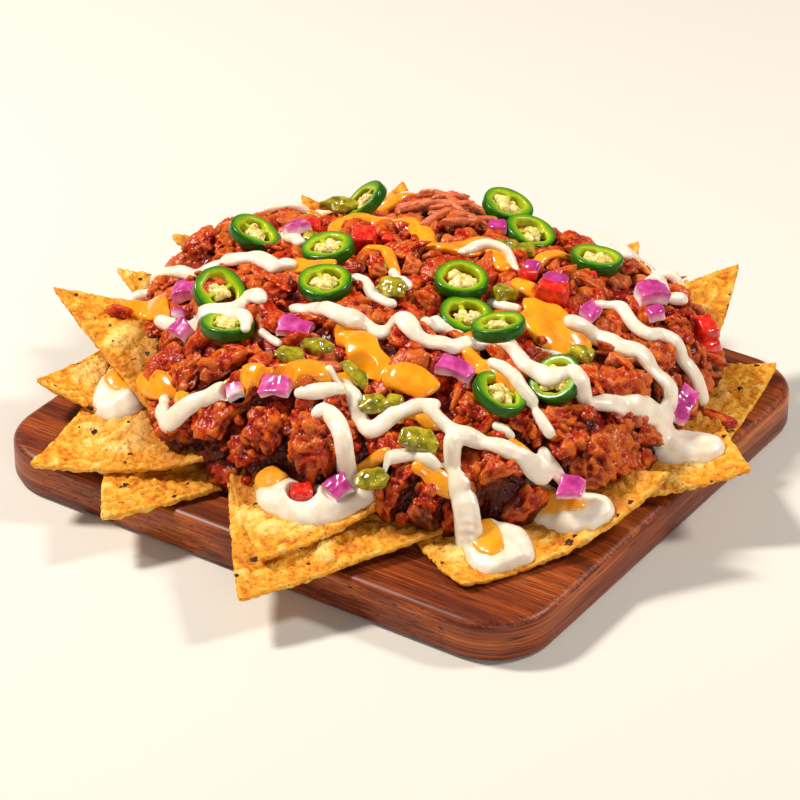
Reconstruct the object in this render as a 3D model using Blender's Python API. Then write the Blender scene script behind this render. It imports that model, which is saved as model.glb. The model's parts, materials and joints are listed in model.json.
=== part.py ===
"""Loaded nachos on a wooden serving board.

A broad, uneven heap of pulled meat lies on triangular corn chips, whose corners stick out all
round, on a board with round corners. Slices of jalapeno, red onion, tomato and pickled relish
lie on the heap. Metres; the origin is the middle of the board's underside; +X runs along the
board's long side and +Z is up.
"""

import math

import bmesh
import bpy
from mathutils import Matrix, Vector, noise

MM = 0.001
GAP = 0.35 * MM                     # clearance left between pieces that touch

BOARD_LENGTH = 280 * MM
BOARD_WIDTH = 258 * MM
BOARD_THICKNESS = 20 * MM
BOARD_CORNER = 30 * MM
BOARD_ROUNDING = 4 * MM

CHIP_THICKNESS = 2.2 * MM
CHIP_CUTS = 4                       # lattice cuts along each side of a chip
CHIP_WAVE = 2.4 * MM
CHIP_WAVE_SPREAD = 38 * MM

HEAP_FOOT = BOARD_THICKNESS + GAP
HEAP_RIM = 33 * MM                  # height at which the meat's outline is widest
HEAP_RISE = 50 * MM                 # from that outline up to the top
HEAP_POWER = 2.8
HEAP_ROOT = 1.6
HEAP_RINGS = (0.97, 0.9, 0.8, 0.68, 0.54, 0.4, 0.26, 0.12)
HEAP_SPOKES = 48
HEAP_LUMP = 19                      # spread of the uneven lumps, in mm
HEAP_UNEVEN = 5 * MM
HEAP_MIDDLE = (-8, 14)
HEAP_LOWER = ((0.80, 0), (0.96, 6))  # share of the outline and height above the foot, in mm

JALAPENO_RADIUS = 12.2 * MM
JALAPENO_THICKNESS = 5.5 * MM
JALAPENO_SIDES = 13
JALAPENO_OVAL = 0.96                # a slice's short diameter over its long one

# Outline of the meat in plan, anticlockwise from the right, in mm.
HEAP_OUTLINE = (
    (128, 12), (121, 52), (112, 94), (70, 124), (10, 132), (-50, 120), (-98, 98), (-134, 66),
    (-143, 18), (-128, -38), (-92, -76), (-62, -100), (-18, -108), (24, -104), (62, -96),
    (96, -74), (122, -44), (130, -18),
)

# Large chunks that stand out of the heap: x, y, radius and rise in mm.
CHUNKS = (
    (-38, -92, 20, 9), (-6, -80, 20, 10), (14, -92, 17, 8), (112, -22, 20, 9), (112, 26, 17, 8),
    (-24, -72, 18, 5), (92, -64, 17, 7), (62, -86, 14, 8), (-44, 98, 22, 8), (-78, -58, 18, 6),
    (42, 102, 20, 5), (84, 88, 24, 7), (104, 60, 20, 6), (-84, 62, 34, -7), (-126, 18, 24, 8),
    (-60, -34, 20, 4), (30, -40, 20, 4), (76, -20, 18, 4), (-10, 20, 22, 3), (60, 40, 20, 5),
)

# Chips: the corner that sticks out, the two others, the bow of the middle and the bulge of the
# sides, all in mm.
CHIPS = {
    "chip_left_upper": ((-156, -52, 58), (-66, -97, 38), (-80, -2, 47), 4, -1),
    "chip_left_lower": ((-134, -100, 39), (-136, -16, 28), (-58, -84, 26), 5, 1),
    "chip_front_left": ((-104, -143, 27), (-118, -60, 38), (-24, -100, 39), 8, 1),
    "chip_front_left_under": ((-55, -155, 22), (-112, -72, 23), (-4, -68, 24), 0, 1),
    "chip_front": ((26, -149, 28), (-34, -94, 36), (62, -70, 43), 4, 2),
    "chip_front_under": ((29, -170, 20), (-36, -88, 32), (78, -84, 27), 0, 1),
    "chip_front_right": ((103, -112, 23), (26, -66, 44), (148, -16, 45), 11, 1),
    "chip_right": ((167, 21, 33), (112, -34, 27), (98, 86, 35), 5, 0),
    "chip_right_under": ((126, 121, 24), (142, 32, 24), (54, 64, 29), 2, 1),
    "chip_back_right": ((88, 150, 52), (44, 66, 46), (114, 68, 30), 3, 1),
    "chip_back_right_low": ((66, 142, 40), (18, 70, 36), (92, 78, 32), 3, 1),
    "chip_back": ((36, 146, 50), (-8, 68, 42), (74, 66, 38), 3, 1),
    "chip_back_middle": ((-28, 150, 38), (-62, 72, 34), (22, 66, 32), 3, 1),
    "chip_back_left": ((-84, 124, 57), (-88, 40, 44), (-20, 72, 44), 3, 1),
    "chip_back_corner": ((-124, 94, 51), (-62, 30, 40), (-50, 104, 36), 3, 1),
    "chip_left_back": ((-153, 27, 50), (-72, 6, 42), (-94, 84, 36), 3, 1),
    "chip_left_middle": ((-162, -4, 43), (-84, -40, 32), (-92, 44, 32), 3, 1),
}


# Jalapeno slices: x, y, z of the middle in mm, then the lean of the face from flat and the
# compass direction it leans toward, in degrees, anticlockwise from +X.
JALAPENOS = (
    (-92, 12, 76, 23, 25), (-65, 63, 78, 42, -146), (-47, 7, 84, 10, -139), (-73, -41, 76, 33, -30),
    (-30, -20, 84, 9, -86), (-54, -61, 74, 6, 124), (21, 13, 86, 9, -42), (-9, 99, 76, 17, 9),
    (13, 84, 75, 19, 10), (54, 75, 78, 8, 64), (34, -3, 79, 14, -25), (56, -11, 85, 12, 175),
    (92, -21, 75, 33, -104), (77, -43, 74, 23, 9),
)

# Dice and slices: x, y, z, lean and direction as above, spin, then length, width and height in mm.
ONIONS = (
    (-98, -35, 66, 25, -140, 20, 12, 9, 7), (-79, -63, 66, 30, -130, -20, 12, 9, 7),
    (-74, 21, 81, 15, 160, 60, 12, 9, 6), (-24, -52, 79, 20, -60, 15, 16, 10, 5),
    (-27, -93, 66, 40, -80, 40, 9, 7, 8), (-9, -88, 72, 30, -100, 10, 15, 10, 5),
    (34, -103, 44, 35, -90, -30, 11, 11, 6), (53, -41, 78, 15, -40, 5, 17, 9, 6),
    (86, 72, 73, 12, 0, 50, 15, 10, 8), (76, 34, 78, 20, -40, 80, 9, 8, 7),
    (122, 39, 43, 30, -30, 100, 19, 10, 7), (118, -50, 45, 25, -60, 20, 12, 11, 5),
)
TOMATOES = (
    (20, -110, 38, 15, -70, 35, 10, 9, 9), (-39, 24, 84, 15, -60, 30, 12, 11, 9),
    (106, 84, 50, 20, -30, 60, 9, 12, 20), (57, 32, 83, 10, -30, 20, 14, 10, 8),
)
PICKLES = (
    (-5, -61, 80, 15, -60, 25, 17, 10, 6), (-12, -71, 77, 25, -60, 10, 17, 11, 6),
    (17, -64, 74, 25, -70, -20, 22, 8, 6), (33, -73, 69, 30, -60, 20, 16, 12, 7),
    (48, -97, 49, 30, -70, 35, 18, 12, 8), (60, -79, 63, 30, -40, 25, 22, 14, 7),
    (-4, -5, 83, 15, -90, 10, 18, 13, 7), (16, 60, 81, 10, 60, 20, 17, 10, 5),
    (-73, 55, 77, 15, 120, 30, 22, 10, 9), (88, 4, 74, 20, -20, 20, 13, 10, 8),
)


def clear_scene():
    for item in list(bpy.data.objects):
        bpy.data.objects.remove(item, do_unlink=True)


def finish_material(name, colour, roughness):
    material = bpy.data.materials.new(name)
    material.use_nodes = True
    shader = material.node_tree.nodes["Principled BSDF"]
    shader.inputs["Base Color"].default_value = (*colour, 1)
    shader.inputs["Roughness"].default_value = roughness
    shader.inputs["Metallic"].default_value = 0
    return material


def add_object(name, bm, material):
    bmesh.ops.recalc_face_normals(bm, faces=bm.faces)
    mesh = bpy.data.meshes.new(name)
    bm.to_mesh(mesh)
    bm.free()
    mesh.materials.append(material)
    mesh.shade_smooth()
    mesh.set_sharp_from_angle(angle=math.radians(40))
    piece = bpy.data.objects.new(name, mesh)
    bpy.context.scene.collection.objects.link(piece)
    return piece


def hide_cutter(cutter):
    """A cutter stays out of the finished object."""
    cutter.name += "_clearance"
    cutter.hide_render = True
    cutter.display_type = "WIRE"
    return cutter


def island(seed):
    """Every face joined to this one."""
    found = {seed}
    waiting = [seed]
    while waiting:
        for edge in waiting.pop().edges:
            fresh = [face for face in edge.link_faces if face not in found]
            found.update(fresh)
            waiting.extend(fresh)
    return found


def keep_largest_body(bm):
    rest = set(bm.faces)
    bodies = []
    while rest:
        body = island(next(iter(rest)))
        rest -= body
        bodies.append(body)
    bodies.sort(key=lambda body: sum(face.calc_area() for face in body))
    for body in bodies[:-1]:
        verts = {vert for face in body for vert in face.verts}
        bmesh.ops.delete(bm, geom=list(verts), context="VERTS")


def carve(piece, cutters):
    """Cuts the clearance of each cutter out of the piece and keeps the largest body."""
    for cutter in cutters:
        cut = piece.modifiers.new(cutter.name, "BOOLEAN")
        cut.operation = "DIFFERENCE"
        cut.solver = "EXACT"
        cut.object = cutter
    graph = bpy.context.evaluated_depsgraph_get()
    cut_mesh = bpy.data.meshes.new_from_object(piece.evaluated_get(graph))
    piece.modifiers.clear()
    bm = bmesh.new()
    bm.from_mesh(cut_mesh)
    bmesh.ops.remove_doubles(bm, verts=bm.verts, dist=0.02 * MM)
    bmesh.ops.dissolve_degenerate(bm, dist=0.02 * MM, edges=bm.edges)
    keep_largest_body(bm)
    for face in bm.faces:
        face.material_index = 0
    bm.to_mesh(piece.data)
    bm.free()


def make_board(material):
    bm = bmesh.new()
    size = Vector((BOARD_LENGTH, BOARD_WIDTH, BOARD_THICKNESS))
    bmesh.ops.create_cube(bm, size=1)
    bmesh.ops.scale(bm, vec=size, verts=bm.verts)
    bmesh.ops.translate(bm, vec=(0, 0, BOARD_THICKNESS / 2), verts=bm.verts)
    upright = [edge for edge in bm.edges if abs(edge.verts[0].co.z - edge.verts[1].co.z) > MM]
    bmesh.ops.bevel(bm, geom=upright, offset=BOARD_CORNER, segments=7, profile=0.5, affect="EDGES",
                    material=-1)
    rims = [edge for edge in bm.edges
            if abs(edge.verts[0].co.z - edge.verts[1].co.z) < 0.01 * MM
            and edge.calc_face_angle() > math.radians(60)]
    bmesh.ops.bevel(bm, geom=rims, offset=BOARD_ROUNDING, segments=3, profile=0.5, affect="EDGES",
                    material=-1)
    return add_object("board", bm, material)


def chip_point(weights, corners, bow, bulge, normal):
    """A point of the chip's middle surface from its three corner weights."""
    a, b, c = weights
    first, second, third = corners
    point = first * a + second * b + third * c
    middle = (first + second + third) / 3
    for share, ends in ((a * b, (first, second)), (b * c, (second, third)), (c * a, (third, first))):
        outward = ((ends[0] + ends[1]) / 2 - middle).normalized()
        point += outward * (4 * share * bulge)
    sag = 3 * (a * b + b * c + c * a) * bow
    wave = noise.noise(point / CHIP_WAVE_SPREAD) * CHIP_WAVE * (1 - max(weights))
    return point + normal * (wave - sag)


def make_chip(name, corners, bow, bulge, thickness, material):
    """A curved triangular shell through three corners."""
    bm = bmesh.new()
    bmesh.ops.create_circle(bm, cap_ends=True, radius=1, segments=3)
    flat = [vert.co.copy() for vert in bm.verts]
    bmesh.ops.subdivide_edges(bm, edges=bm.edges, cuts=CHIP_CUTS, use_grid_fill=True)
    bmesh.ops.triangulate(bm, faces=bm.faces)
    normal = (corners[1] - corners[0]).cross(corners[2] - corners[0]).normalized()
    if normal.z < 0:
        normal.negate()
    basis = Matrix(((flat[0].x, flat[1].x, flat[2].x), (flat[0].y, flat[1].y, flat[2].y), (1, 1, 1)))
    basis.invert()
    for vert in bm.verts:
        weights = basis @ Vector((vert.co.x, vert.co.y, 1))
        vert.co = chip_point(weights, corners, bow, bulge, normal) + normal * thickness / 2
    bm.normal_update()
    if sum(face.normal.dot(normal) for face in bm.faces) < 0:
        bmesh.ops.reverse_faces(bm, faces=bm.faces)
    bm.normal_update()
    bmesh.ops.solidify(bm, geom=bm.faces, thickness=thickness)
    return add_object(name, bm, material)


def make_chip_cutter(name, corners, bow, bulge, material):
    """The same shell with the clearance added all round."""
    middle = (corners[0] + corners[1] + corners[2]) / 3
    grown = [corner + (corner - middle).normalized() * 2 * GAP for corner in corners]
    return hide_cutter(make_chip(name, grown, bow, bulge, CHIP_THICKNESS + 2 * GAP, material))


def outline_point(turn):
    """The meat's outline at a turn from 0 to 1, smooth through its named points, in mm."""
    count = len(HEAP_OUTLINE)
    place = turn * count
    index = math.floor(place)
    t = place - index
    p0, p1, p2, p3 = (Vector(HEAP_OUTLINE[(index + step) % count]) for step in (-1, 0, 1, 2))
    return 0.5 * (2 * p1 + (p2 - p0) * t + (2 * p0 - 5 * p1 + 4 * p2 - p3) * t ** 2
                  + (3 * p1 - 3 * p2 + p3 - p0) * t ** 3)


def heap_height(point, share):
    """Height of the meat over a plan point in mm, at this share of the way to the outline."""
    height = HEAP_RIM + HEAP_RISE * (1 - share ** HEAP_POWER) ** (1 / HEAP_ROOT)
    for x, y, radius, rise in CHUNKS:
        near = 1 - ((point - Vector((x, y))).length / radius) ** 2
        if near > 0:
            height += rise * MM * near
    return height + noise.noise((*(point / HEAP_LUMP), 0)) * HEAP_UNEVEN


def make_heap(material):
    bm = bmesh.new()
    middle = Vector(HEAP_MIDDLE)
    loops = []
    lower = [(share, HEAP_FOOT + height * MM) for share, height in HEAP_LOWER]
    for share, height in (*lower, (1, HEAP_RIM)):
        loop = []
        for spoke in range(HEAP_SPOKES):
            plan = middle.lerp(outline_point(spoke / HEAP_SPOKES), share)
            loop.append(bm.verts.new((*(plan * MM), height)))
        loops.append(loop)
    for share in HEAP_RINGS:
        loop = []
        for spoke in range(HEAP_SPOKES):
            plan = middle.lerp(outline_point(spoke / HEAP_SPOKES), share)
            loop.append(bm.verts.new((*(plan * MM), heap_height(plan, share))))
        loops.append(loop)
    for under, over in zip(loops, loops[1:]):
        for spoke in range(HEAP_SPOKES):
            after = (spoke + 1) % HEAP_SPOKES
            bm.faces.new((under[spoke], under[after], over[after], over[spoke]))
    bm.faces.new(reversed(loops[0]))
    peak = bm.verts.new((*(middle * MM), heap_height(middle, 0)))
    for spoke in range(HEAP_SPOKES):
        bm.faces.new((loops[-1][spoke], loops[-1][(spoke + 1) % HEAP_SPOKES], peak))
    bmesh.ops.triangulate(bm, faces=bm.faces)
    return add_object("heap", bm, material)


def stand(bm, place, lean, toward, spin):
    """Turns a piece made flat at the origin to its lean, then moves it to its place."""
    turn = math.radians(toward)
    axis = Vector((-math.sin(turn), math.cos(turn), 0))
    pose = (Matrix.Translation(Vector(place) * MM) @ Matrix.Rotation(math.radians(lean), 4, axis)
            @ Matrix.Rotation(math.radians(spin), 4, "Z"))
    bmesh.ops.transform(bm, matrix=pose, verts=bm.verts)


def slice_mesh(size):
    """A round slice with softened rims; size is its two diameters and its thickness."""
    bm = bmesh.new()
    bmesh.ops.create_cone(bm, cap_ends=True, segments=JALAPENO_SIDES, radius1=0.5, radius2=0.5,
                          depth=1)
    bmesh.ops.scale(bm, vec=size, verts=bm.verts)
    rims = [edge for edge in bm.edges if abs(edge.verts[0].co.z - edge.verts[1].co.z) < 0.1 * MM]
    bmesh.ops.bevel(bm, geom=rims, offset=0.9 * MM, segments=1, profile=0.5, affect="EDGES",
                    material=-1)
    return bm


def layer_mesh(size):
    """A diced piece of onion layer: a block bowed over its length and narrowed at one end."""
    bm = bmesh.new()
    bmesh.ops.create_cube(bm, size=1)
    long_edges = [edge for edge in bm.edges if abs(edge.verts[0].co.x - edge.verts[1].co.x) > 0.5]
    bmesh.ops.subdivide_edges(bm, edges=long_edges, cuts=2)
    for vert in bm.verts:
        vert.co.z -= vert.co.x ** 2
        vert.co.y *= 1 - 0.25 * vert.co.x
    bmesh.ops.scale(bm, vec=size, verts=bm.verts)
    return bm


def dice_mesh(size):
    """A diced block with softened edges, a little narrower at the top."""
    bm = bmesh.new()
    bmesh.ops.create_cube(bm, size=1)
    for vert in bm.verts:
        vert.co.x *= 1 - 0.3 * vert.co.z
        vert.co.y *= 1 - 0.2 * vert.co.z
    bmesh.ops.scale(bm, vec=size, verts=bm.verts)
    bmesh.ops.bevel(bm, geom=bm.edges, offset=0.8 * MM, segments=1, profile=0.5, affect="EDGES",
                    material=-1)
    return bm


def relish_mesh(size):
    """A soft, uneven lump of pickled pepper."""
    bm = bmesh.new()
    bmesh.ops.create_icosphere(bm, subdivisions=1, radius=0.5)
    for vert in bm.verts:
        vert.co *= 1 + 0.25 * noise.noise(vert.co * 3)
    bmesh.ops.scale(bm, vec=size, verts=bm.verts)
    return bm


def near(piece, cutter):
    """Whether the boxes round two objects meet."""
    corners = [[Vector(corner) for corner in item.bound_box] for item in (piece, cutter)]
    for axis in range(3):
        spans = [[corner[axis] for corner in box] for box in corners]
        if max(spans[0]) < min(spans[1]) or max(spans[1]) < min(spans[0]):
            return False
    return True


def add_topping(name, shape, size, stance, material, done):
    """A topping cut clear of the pieces already there; its own cutter joins them."""
    grown = Vector(size) + Vector((1, 1, 1)) * 2 * GAP
    pair = []
    for title, extent in ((name, Vector(size)), (name + "_grown", grown)):
        bm = shape(extent)
        stand(bm, *stance)
        pair.append(add_object(title, bm, material))
    topping, cutter = pair
    carve(topping, [other for other in done if near(topping, other)])
    done.append(hide_cutter(cutter))


def add_toppings(done):
    green = finish_material("jalapeno", (0.07, 0.26, 0.02), 0.3)
    purple = finish_material("red_onion", (0.55, 0.12, 0.42), 0.35)
    red = finish_material("tomato", (0.75, 0.04, 0.01), 0.3)
    olive = finish_material("pickle", (0.30, 0.27, 0.02), 0.25)
    across = 2 * JALAPENO_RADIUS
    round_size = (across, across * JALAPENO_OVAL, JALAPENO_THICKNESS)
    for index, (*place, lean, toward) in enumerate(JALAPENOS, 1):
        add_topping(f"jalapeno_{index}", slice_mesh, round_size, (place, lean, toward, 0), green, done)
    groups = (("onion", ONIONS, layer_mesh, purple), ("tomato", TOMATOES, dice_mesh, red),
              ("pickle", PICKLES, relish_mesh, olive))
    for title, pieces, shape, material in groups:
        for index, (*place, lean, toward, spin, length, width, height) in enumerate(pieces, 1):
            size = (length * MM, width * MM, height * MM)
            add_topping(f"{title}_{index}", shape, size, (place, lean, toward, spin), material, done)


def main():
    clear_scene()
    wood = finish_material("wood", (0.30, 0.09, 0.03), 0.45)
    corn = finish_material("corn", (0.85, 0.50, 0.10), 0.6)
    meat = finish_material("meat", (0.24, 0.04, 0.01), 0.4)
    make_board(wood)
    done = []
    for name, (*corners, bow, bulge) in CHIPS.items():
        corners = [Vector(corner) * MM for corner in corners]
        chip = make_chip(name, corners, bow * MM, bulge * MM, CHIP_THICKNESS, corn)
        carve(chip, done)
        done.append(make_chip_cutter(name, corners, bow * MM, bulge * MM, corn))
    add_toppings(done)
    carve(make_heap(meat), done)


main()
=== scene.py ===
import json
import math
import random
import time

import bmesh
import bpy
import numpy as np
from mathutils import Matrix, Vector, noise
from mathutils.bvhtree import BVHTree

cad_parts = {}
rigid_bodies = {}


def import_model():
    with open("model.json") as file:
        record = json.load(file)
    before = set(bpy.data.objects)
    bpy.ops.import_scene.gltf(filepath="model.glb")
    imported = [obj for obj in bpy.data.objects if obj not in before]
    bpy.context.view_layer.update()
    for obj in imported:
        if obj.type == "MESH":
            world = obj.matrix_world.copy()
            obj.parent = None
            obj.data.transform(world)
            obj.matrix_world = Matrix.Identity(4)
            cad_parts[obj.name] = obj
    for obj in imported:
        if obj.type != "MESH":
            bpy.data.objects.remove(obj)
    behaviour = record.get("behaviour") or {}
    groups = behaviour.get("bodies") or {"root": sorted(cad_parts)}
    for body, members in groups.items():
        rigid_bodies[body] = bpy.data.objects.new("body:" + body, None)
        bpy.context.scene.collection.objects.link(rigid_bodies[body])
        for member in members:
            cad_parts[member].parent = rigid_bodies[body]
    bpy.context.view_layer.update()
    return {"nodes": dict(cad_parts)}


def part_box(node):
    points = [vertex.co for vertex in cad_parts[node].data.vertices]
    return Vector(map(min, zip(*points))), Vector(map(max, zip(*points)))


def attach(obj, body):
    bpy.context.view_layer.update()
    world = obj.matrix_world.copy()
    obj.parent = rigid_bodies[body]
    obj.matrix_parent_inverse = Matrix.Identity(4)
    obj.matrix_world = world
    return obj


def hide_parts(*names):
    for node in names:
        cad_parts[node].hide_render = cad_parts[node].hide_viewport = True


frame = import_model()
mm = 0.001
straightUp, straightDown = Vector((0, 0, 1)), Vector((0, 0, -1))
plumbFrom = 200                  # the height in mm that plumb lines start from
boardTop, bareHeight = 20, 19.5  # the board's top, and what stands for nothing met, in mm
started = time.perf_counter()


# ---- shared helpers

def report(text):
    print(f"nachos: {text}, {time.perf_counter() - started:.0f} s", flush=True)


def linearColour(code):
    channels = [int(code[at:at + 2], 16) / 255 for at in (1, 3, 5)]
    return (*(c / 12.92 if c <= 0.04045 else ((c + 0.055) / 1.055) ** 2.4 for c in channels), 1)


def newMaterial(name, **settings):
    material = bpy.data.materials.new(name)
    material.use_nodes = True
    shader = material.node_tree.nodes["Principled BSDF"]
    for socket, value in settings.items():
        shader.inputs[socket.replace("_", " ")].default_value = value
    return material


# Adds a node: settings are the node's own, inputs are numbers, colours as hex codes, or other
# nodes and sockets to link from, and stops are a ramp's places and colours.
def addNode(material, kind, inputs=None, stops=None, **settings):
    tree = material.node_tree
    node = tree.nodes.new("ShaderNode" + kind) if kind != "Shader" else tree.nodes["Principled BSDF"]
    for key, value in settings.items():
        setattr(node, key, value)
    for socket, value in (inputs or {}).items():
        if isinstance(value, bpy.types.Node):
            value = next(output for output in value.outputs if output.enabled)
        if isinstance(value, bpy.types.NodeSocket):
            tree.links.new(value, node.inputs[socket])
        elif isinstance(value, str):
            node.inputs[socket].default_value = linearColour(value)
        else:
            node.inputs[socket].default_value = value
    if stops:
        ramp = node.color_ramp
        while len(ramp.elements) < len(stops):
            ramp.elements.new(0.5)
        for element, (place, shade) in zip(ramp.elements, stops):
            element.position = place
            element.color = linearColour(shade) if isinstance(shade, str) else (shade,) * 3 + (1,)
    return node


def addMath(material, operation, *values, **settings):
    return addNode(material, "Math", dict(enumerate(values)), operation=operation, **settings)


def addMix(material, share, first, second):
    return addNode(material, "Mix", {0: share, 6: first, 7: second}, data_type="RGBA")


def addRamp(material, value, *stops):
    return addNode(material, "ValToRGB", {"Fac": value}, stops)


# Noise, cells and bumps have their sizes in mm
def addNoise(material, place, size, detail=2):
    return addNode(material, "TexNoise", {"Vector": place, "Scale": 1 / (size * mm), "Detail": detail})


def addCells(material, place, size):
    return addNode(material, "TexVoronoi", {"Vector": place, "Scale": 1 / (size * mm)})


def addBump(material, height, strength, distance):
    return addNode(material, "Bump", {"Height": height, "Strength": strength, "Distance": distance * mm})


def ownPlace(material):
    return addNode(material, "TexCoord").outputs["Object"]


def keptValue(material, name):
    return addNode(material, "Attribute", attribute_name=name).outputs["Fac"]


# Soft wet food that light passes a little way into: patches of colour, and bumps that are the
# patches or finer ones. A shift moves the colours by the depth kept at each point, streaks add
# the fine noise to the patches, and a near colour is that of the sauce beside it.
def wetFood(name, radius, patch, stops, bump, fine=None, shift=None, streaked=False, near=None,
            **settings):
    food = newMaterial(name, Subsurface_Radius=radius, Subsurface_Scale=mm, **settings)
    place = ownPlace(food)
    tone = addNoise(food, place, *patch)
    relief = addNoise(food, place, *fine) if fine else tone
    if streaked:
        tone = addMath(food, "ADD", relief, tone)
    if shift:
        tone = addMath(food, "ADD", keptValue(food, "depth"), addMath(food, "MULTIPLY_ADD", tone, *shift))
    colour = addRamp(food, tone, *stops)
    if near:
        colour = addMix(food, keptValue(food, "near"), colour, near)
    addNode(food, "Shader", {"Base Color": colour, "Normal": addBump(food, relief, *bump)})
    return food


def newObject(name, data):
    made = bpy.data.objects.new(name, data)
    bpy.context.scene.collection.objects.link(made)
    return made


# The finished mesh of one being built, which is freed
def meshFrom(name, bm):
    mesh = bpy.data.meshes.new(name)
    bm.to_mesh(mesh)
    bm.free()
    return mesh


def addPiece(name, source, materials, nodes=()):
    mesh = meshFrom(name, source) if isinstance(source, bmesh.types.BMesh) else source
    if mesh.materials:
        mesh.materials.clear()
    for material in materials:
        mesh.materials.append(material)
    mesh.shade_smooth()
    piece = newObject(name, mesh)
    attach(piece, "root")
    if nodes:
        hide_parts(*nodes)
    return piece


# Adds one mesh being built to another, and frees it
def joinInto(bm, part):
    mesh = meshFrom("part", part)
    bm.from_mesh(mesh)
    bpy.data.meshes.remove(mesh)


# A copy of a node's CAD mesh whose faces share their corners
def mergedCopy(name, node):
    bm = bmesh.new()
    bm.from_mesh(frame["nodes"][node].data)
    bmesh.ops.remove_doubles(bm, verts=bm.verts, dist=1e-6)
    return meshFrom(name, bm)


# The same form with an even skin of this voxel size in mm, smoothed
def softened(mesh, voxel, rounds, factor):
    helper = newObject("helper", mesh)
    for kind, settings in (("REMESH", {"mode": "VOXEL", "voxel_size": voxel * mm}),
                           ("SMOOTH", {"iterations": rounds, "factor": factor})):
        modifier = helper.modifiers.new(kind, kind)
        for key, value in settings.items():
            setattr(modifier, key, value)
    graph = bpy.context.evaluated_depsgraph_get()
    made = bpy.data.meshes.new_from_object(helper.evaluated_get(graph))
    bpy.data.objects.remove(helper)
    return made


# Adds a cube of unit size whose sides are cut into a grid, and gives its points
def addGridCube(bm, cuts):
    before = len(bm.verts)
    cube = bmesh.ops.create_cube(bm, size=1)["verts"]
    edges = list({edge for vert in cube for edge in vert.link_edges})
    bmesh.ops.subdivide_edges(bm, edges=edges, cuts=cuts, use_grid_fill=True)
    bm.verts.ensure_lookup_table()
    return bm.verts[before:]


def moveVerts(verts, matrix):
    for vert in verts:
        vert.co = matrix @ vert.co


def pointsOf(mesh):
    points = np.empty(len(mesh.vertices) * 3)
    mesh.vertices.foreach_get("co", points)
    return points.reshape(-1, 3) * 1000


def movePoints(mesh, points):
    mesh.vertices.foreach_set("co", (points * mm).astype(np.float32).ravel())
    mesh.update()


def keepValues(mesh, name, values):
    attribute = mesh.attributes.new(name, "FLOAT", "POINT")
    attribute.data.foreach_set("value", values.astype(np.float32))


# Smooth noise from -1 to 1 at points in mm, with lumps of this size in mm
def noiseAt(points, size, seed=0.0):
    shift = Vector((7.31 * seed, 3.17 * seed, 5.71 * seed))
    return np.array([noise.noise(Vector(point) / size + shift) for point in points.tolist()])


def smoothStep(values, low, high):
    share = np.clip((values - low) / (high - low), 0, 1)
    return share * share * (3 - 2 * share)


# A smooth line through plan points in mm, with a point about every step
def smoothLine(through, step=1.0):
    points = [Vector(point) for point in through]
    ends = [2 * points[0] - points[1], *points, 2 * points[-1] - points[-2]]
    line = []
    for p0, p1, p2, p3 in zip(ends, ends[1:], ends[2:], ends[3:]):
        count = max(1, round((p2 - p1).length / step))
        for index in range(count):
            t = index / count
            line.append(0.5 * (2 * p1 + (p2 - p0) * t + (2 * p0 - 5 * p1 + 4 * p2 - p3) * t ** 2
                               + (3 * p1 - 3 * p2 + p3 - p0) * t ** 3))
    return line + [points[-1]]


def treeOf(meshes):
    bm = bmesh.new()
    for mesh in meshes:
        bm.from_mesh(mesh)
    tree = BVHTree.FromBMesh(bm)
    bm.free()
    return tree


def pieceTree(pieces):
    return treeOf([piece.data for piece in pieces])


# What a plumb line over a plan point in mm meets first
def plumb(tree, x, y):
    return tree.ray_cast(Vector((x, y, plumbFrom)) * mm, straightDown)


# How far points in mm lie from a surface, in mm
def distanceTo(tree, points):
    return np.array([tree.find_nearest(Vector(point))[3] for point in (points * mm).tolist()]) / mm


def anyWay(rng):
    way = np.array([rng.uniform(-1, 1) for _ in range(3)])
    return way / np.linalg.norm(way)


# The turn that takes straight up to a direction
def turnTo(normal):
    return straightUp.rotation_difference(normal).to_matrix().to_4x4()


# ---- board

board = {"corner": 30 * mm, "cornerSteps": 20, "rim": 4 * mm, "rimSteps": 6}


# Oiled hardwood, sawn and sanded: long straight grain with fine dark pores, satin
def boardWood():
    wood = newMaterial("oiledHardwood", Roughness=0.42, Specular_IOR_Level=0.35, Coat_Weight=0.08,
                       Coat_Roughness=0.25)
    place = addNode(wood, "Attribute", attribute_name="grain").outputs["Vector"]
    broad, fine, short = (addNode(wood, "Mapping", {"Vector": place, "Scale": scale})
                          for scale in ((5, 70, 70), (16, 900, 700), (70, 1500, 1500)))
    figure = addNode(wood, "TexNoise", {"Vector": broad, "Scale": 1, "Detail": 3, "Distortion": 0.7})
    streak = addNode(wood, "TexNoise", {"Vector": fine, "Scale": 1, "Detail": 4, "Roughness": 0.65})
    pore = addNode(wood, "TexNoise", {"Vector": short, "Scale": 1, "Detail": 1})
    half = addMath(wood, "MULTIPLY", addMath(wood, "ADD", figure, streak), 0.5)
    tone = addRamp(wood, half, (0.34, "#3A1206"), (0.45, "#6E2A0C"), (0.55, "#A04A18"), (0.66, "#CC7836"))
    dark = addRamp(wood, pore, (0.30, 1.0), (0.40, 0.0))
    mixed = addMix(wood, dark, tone, "#240B04")
    addNode(wood, "Shader", {"Base Color": mixed, "Normal": addBump(wood, streak, 0.35, 0.3)})
    return wood


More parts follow.
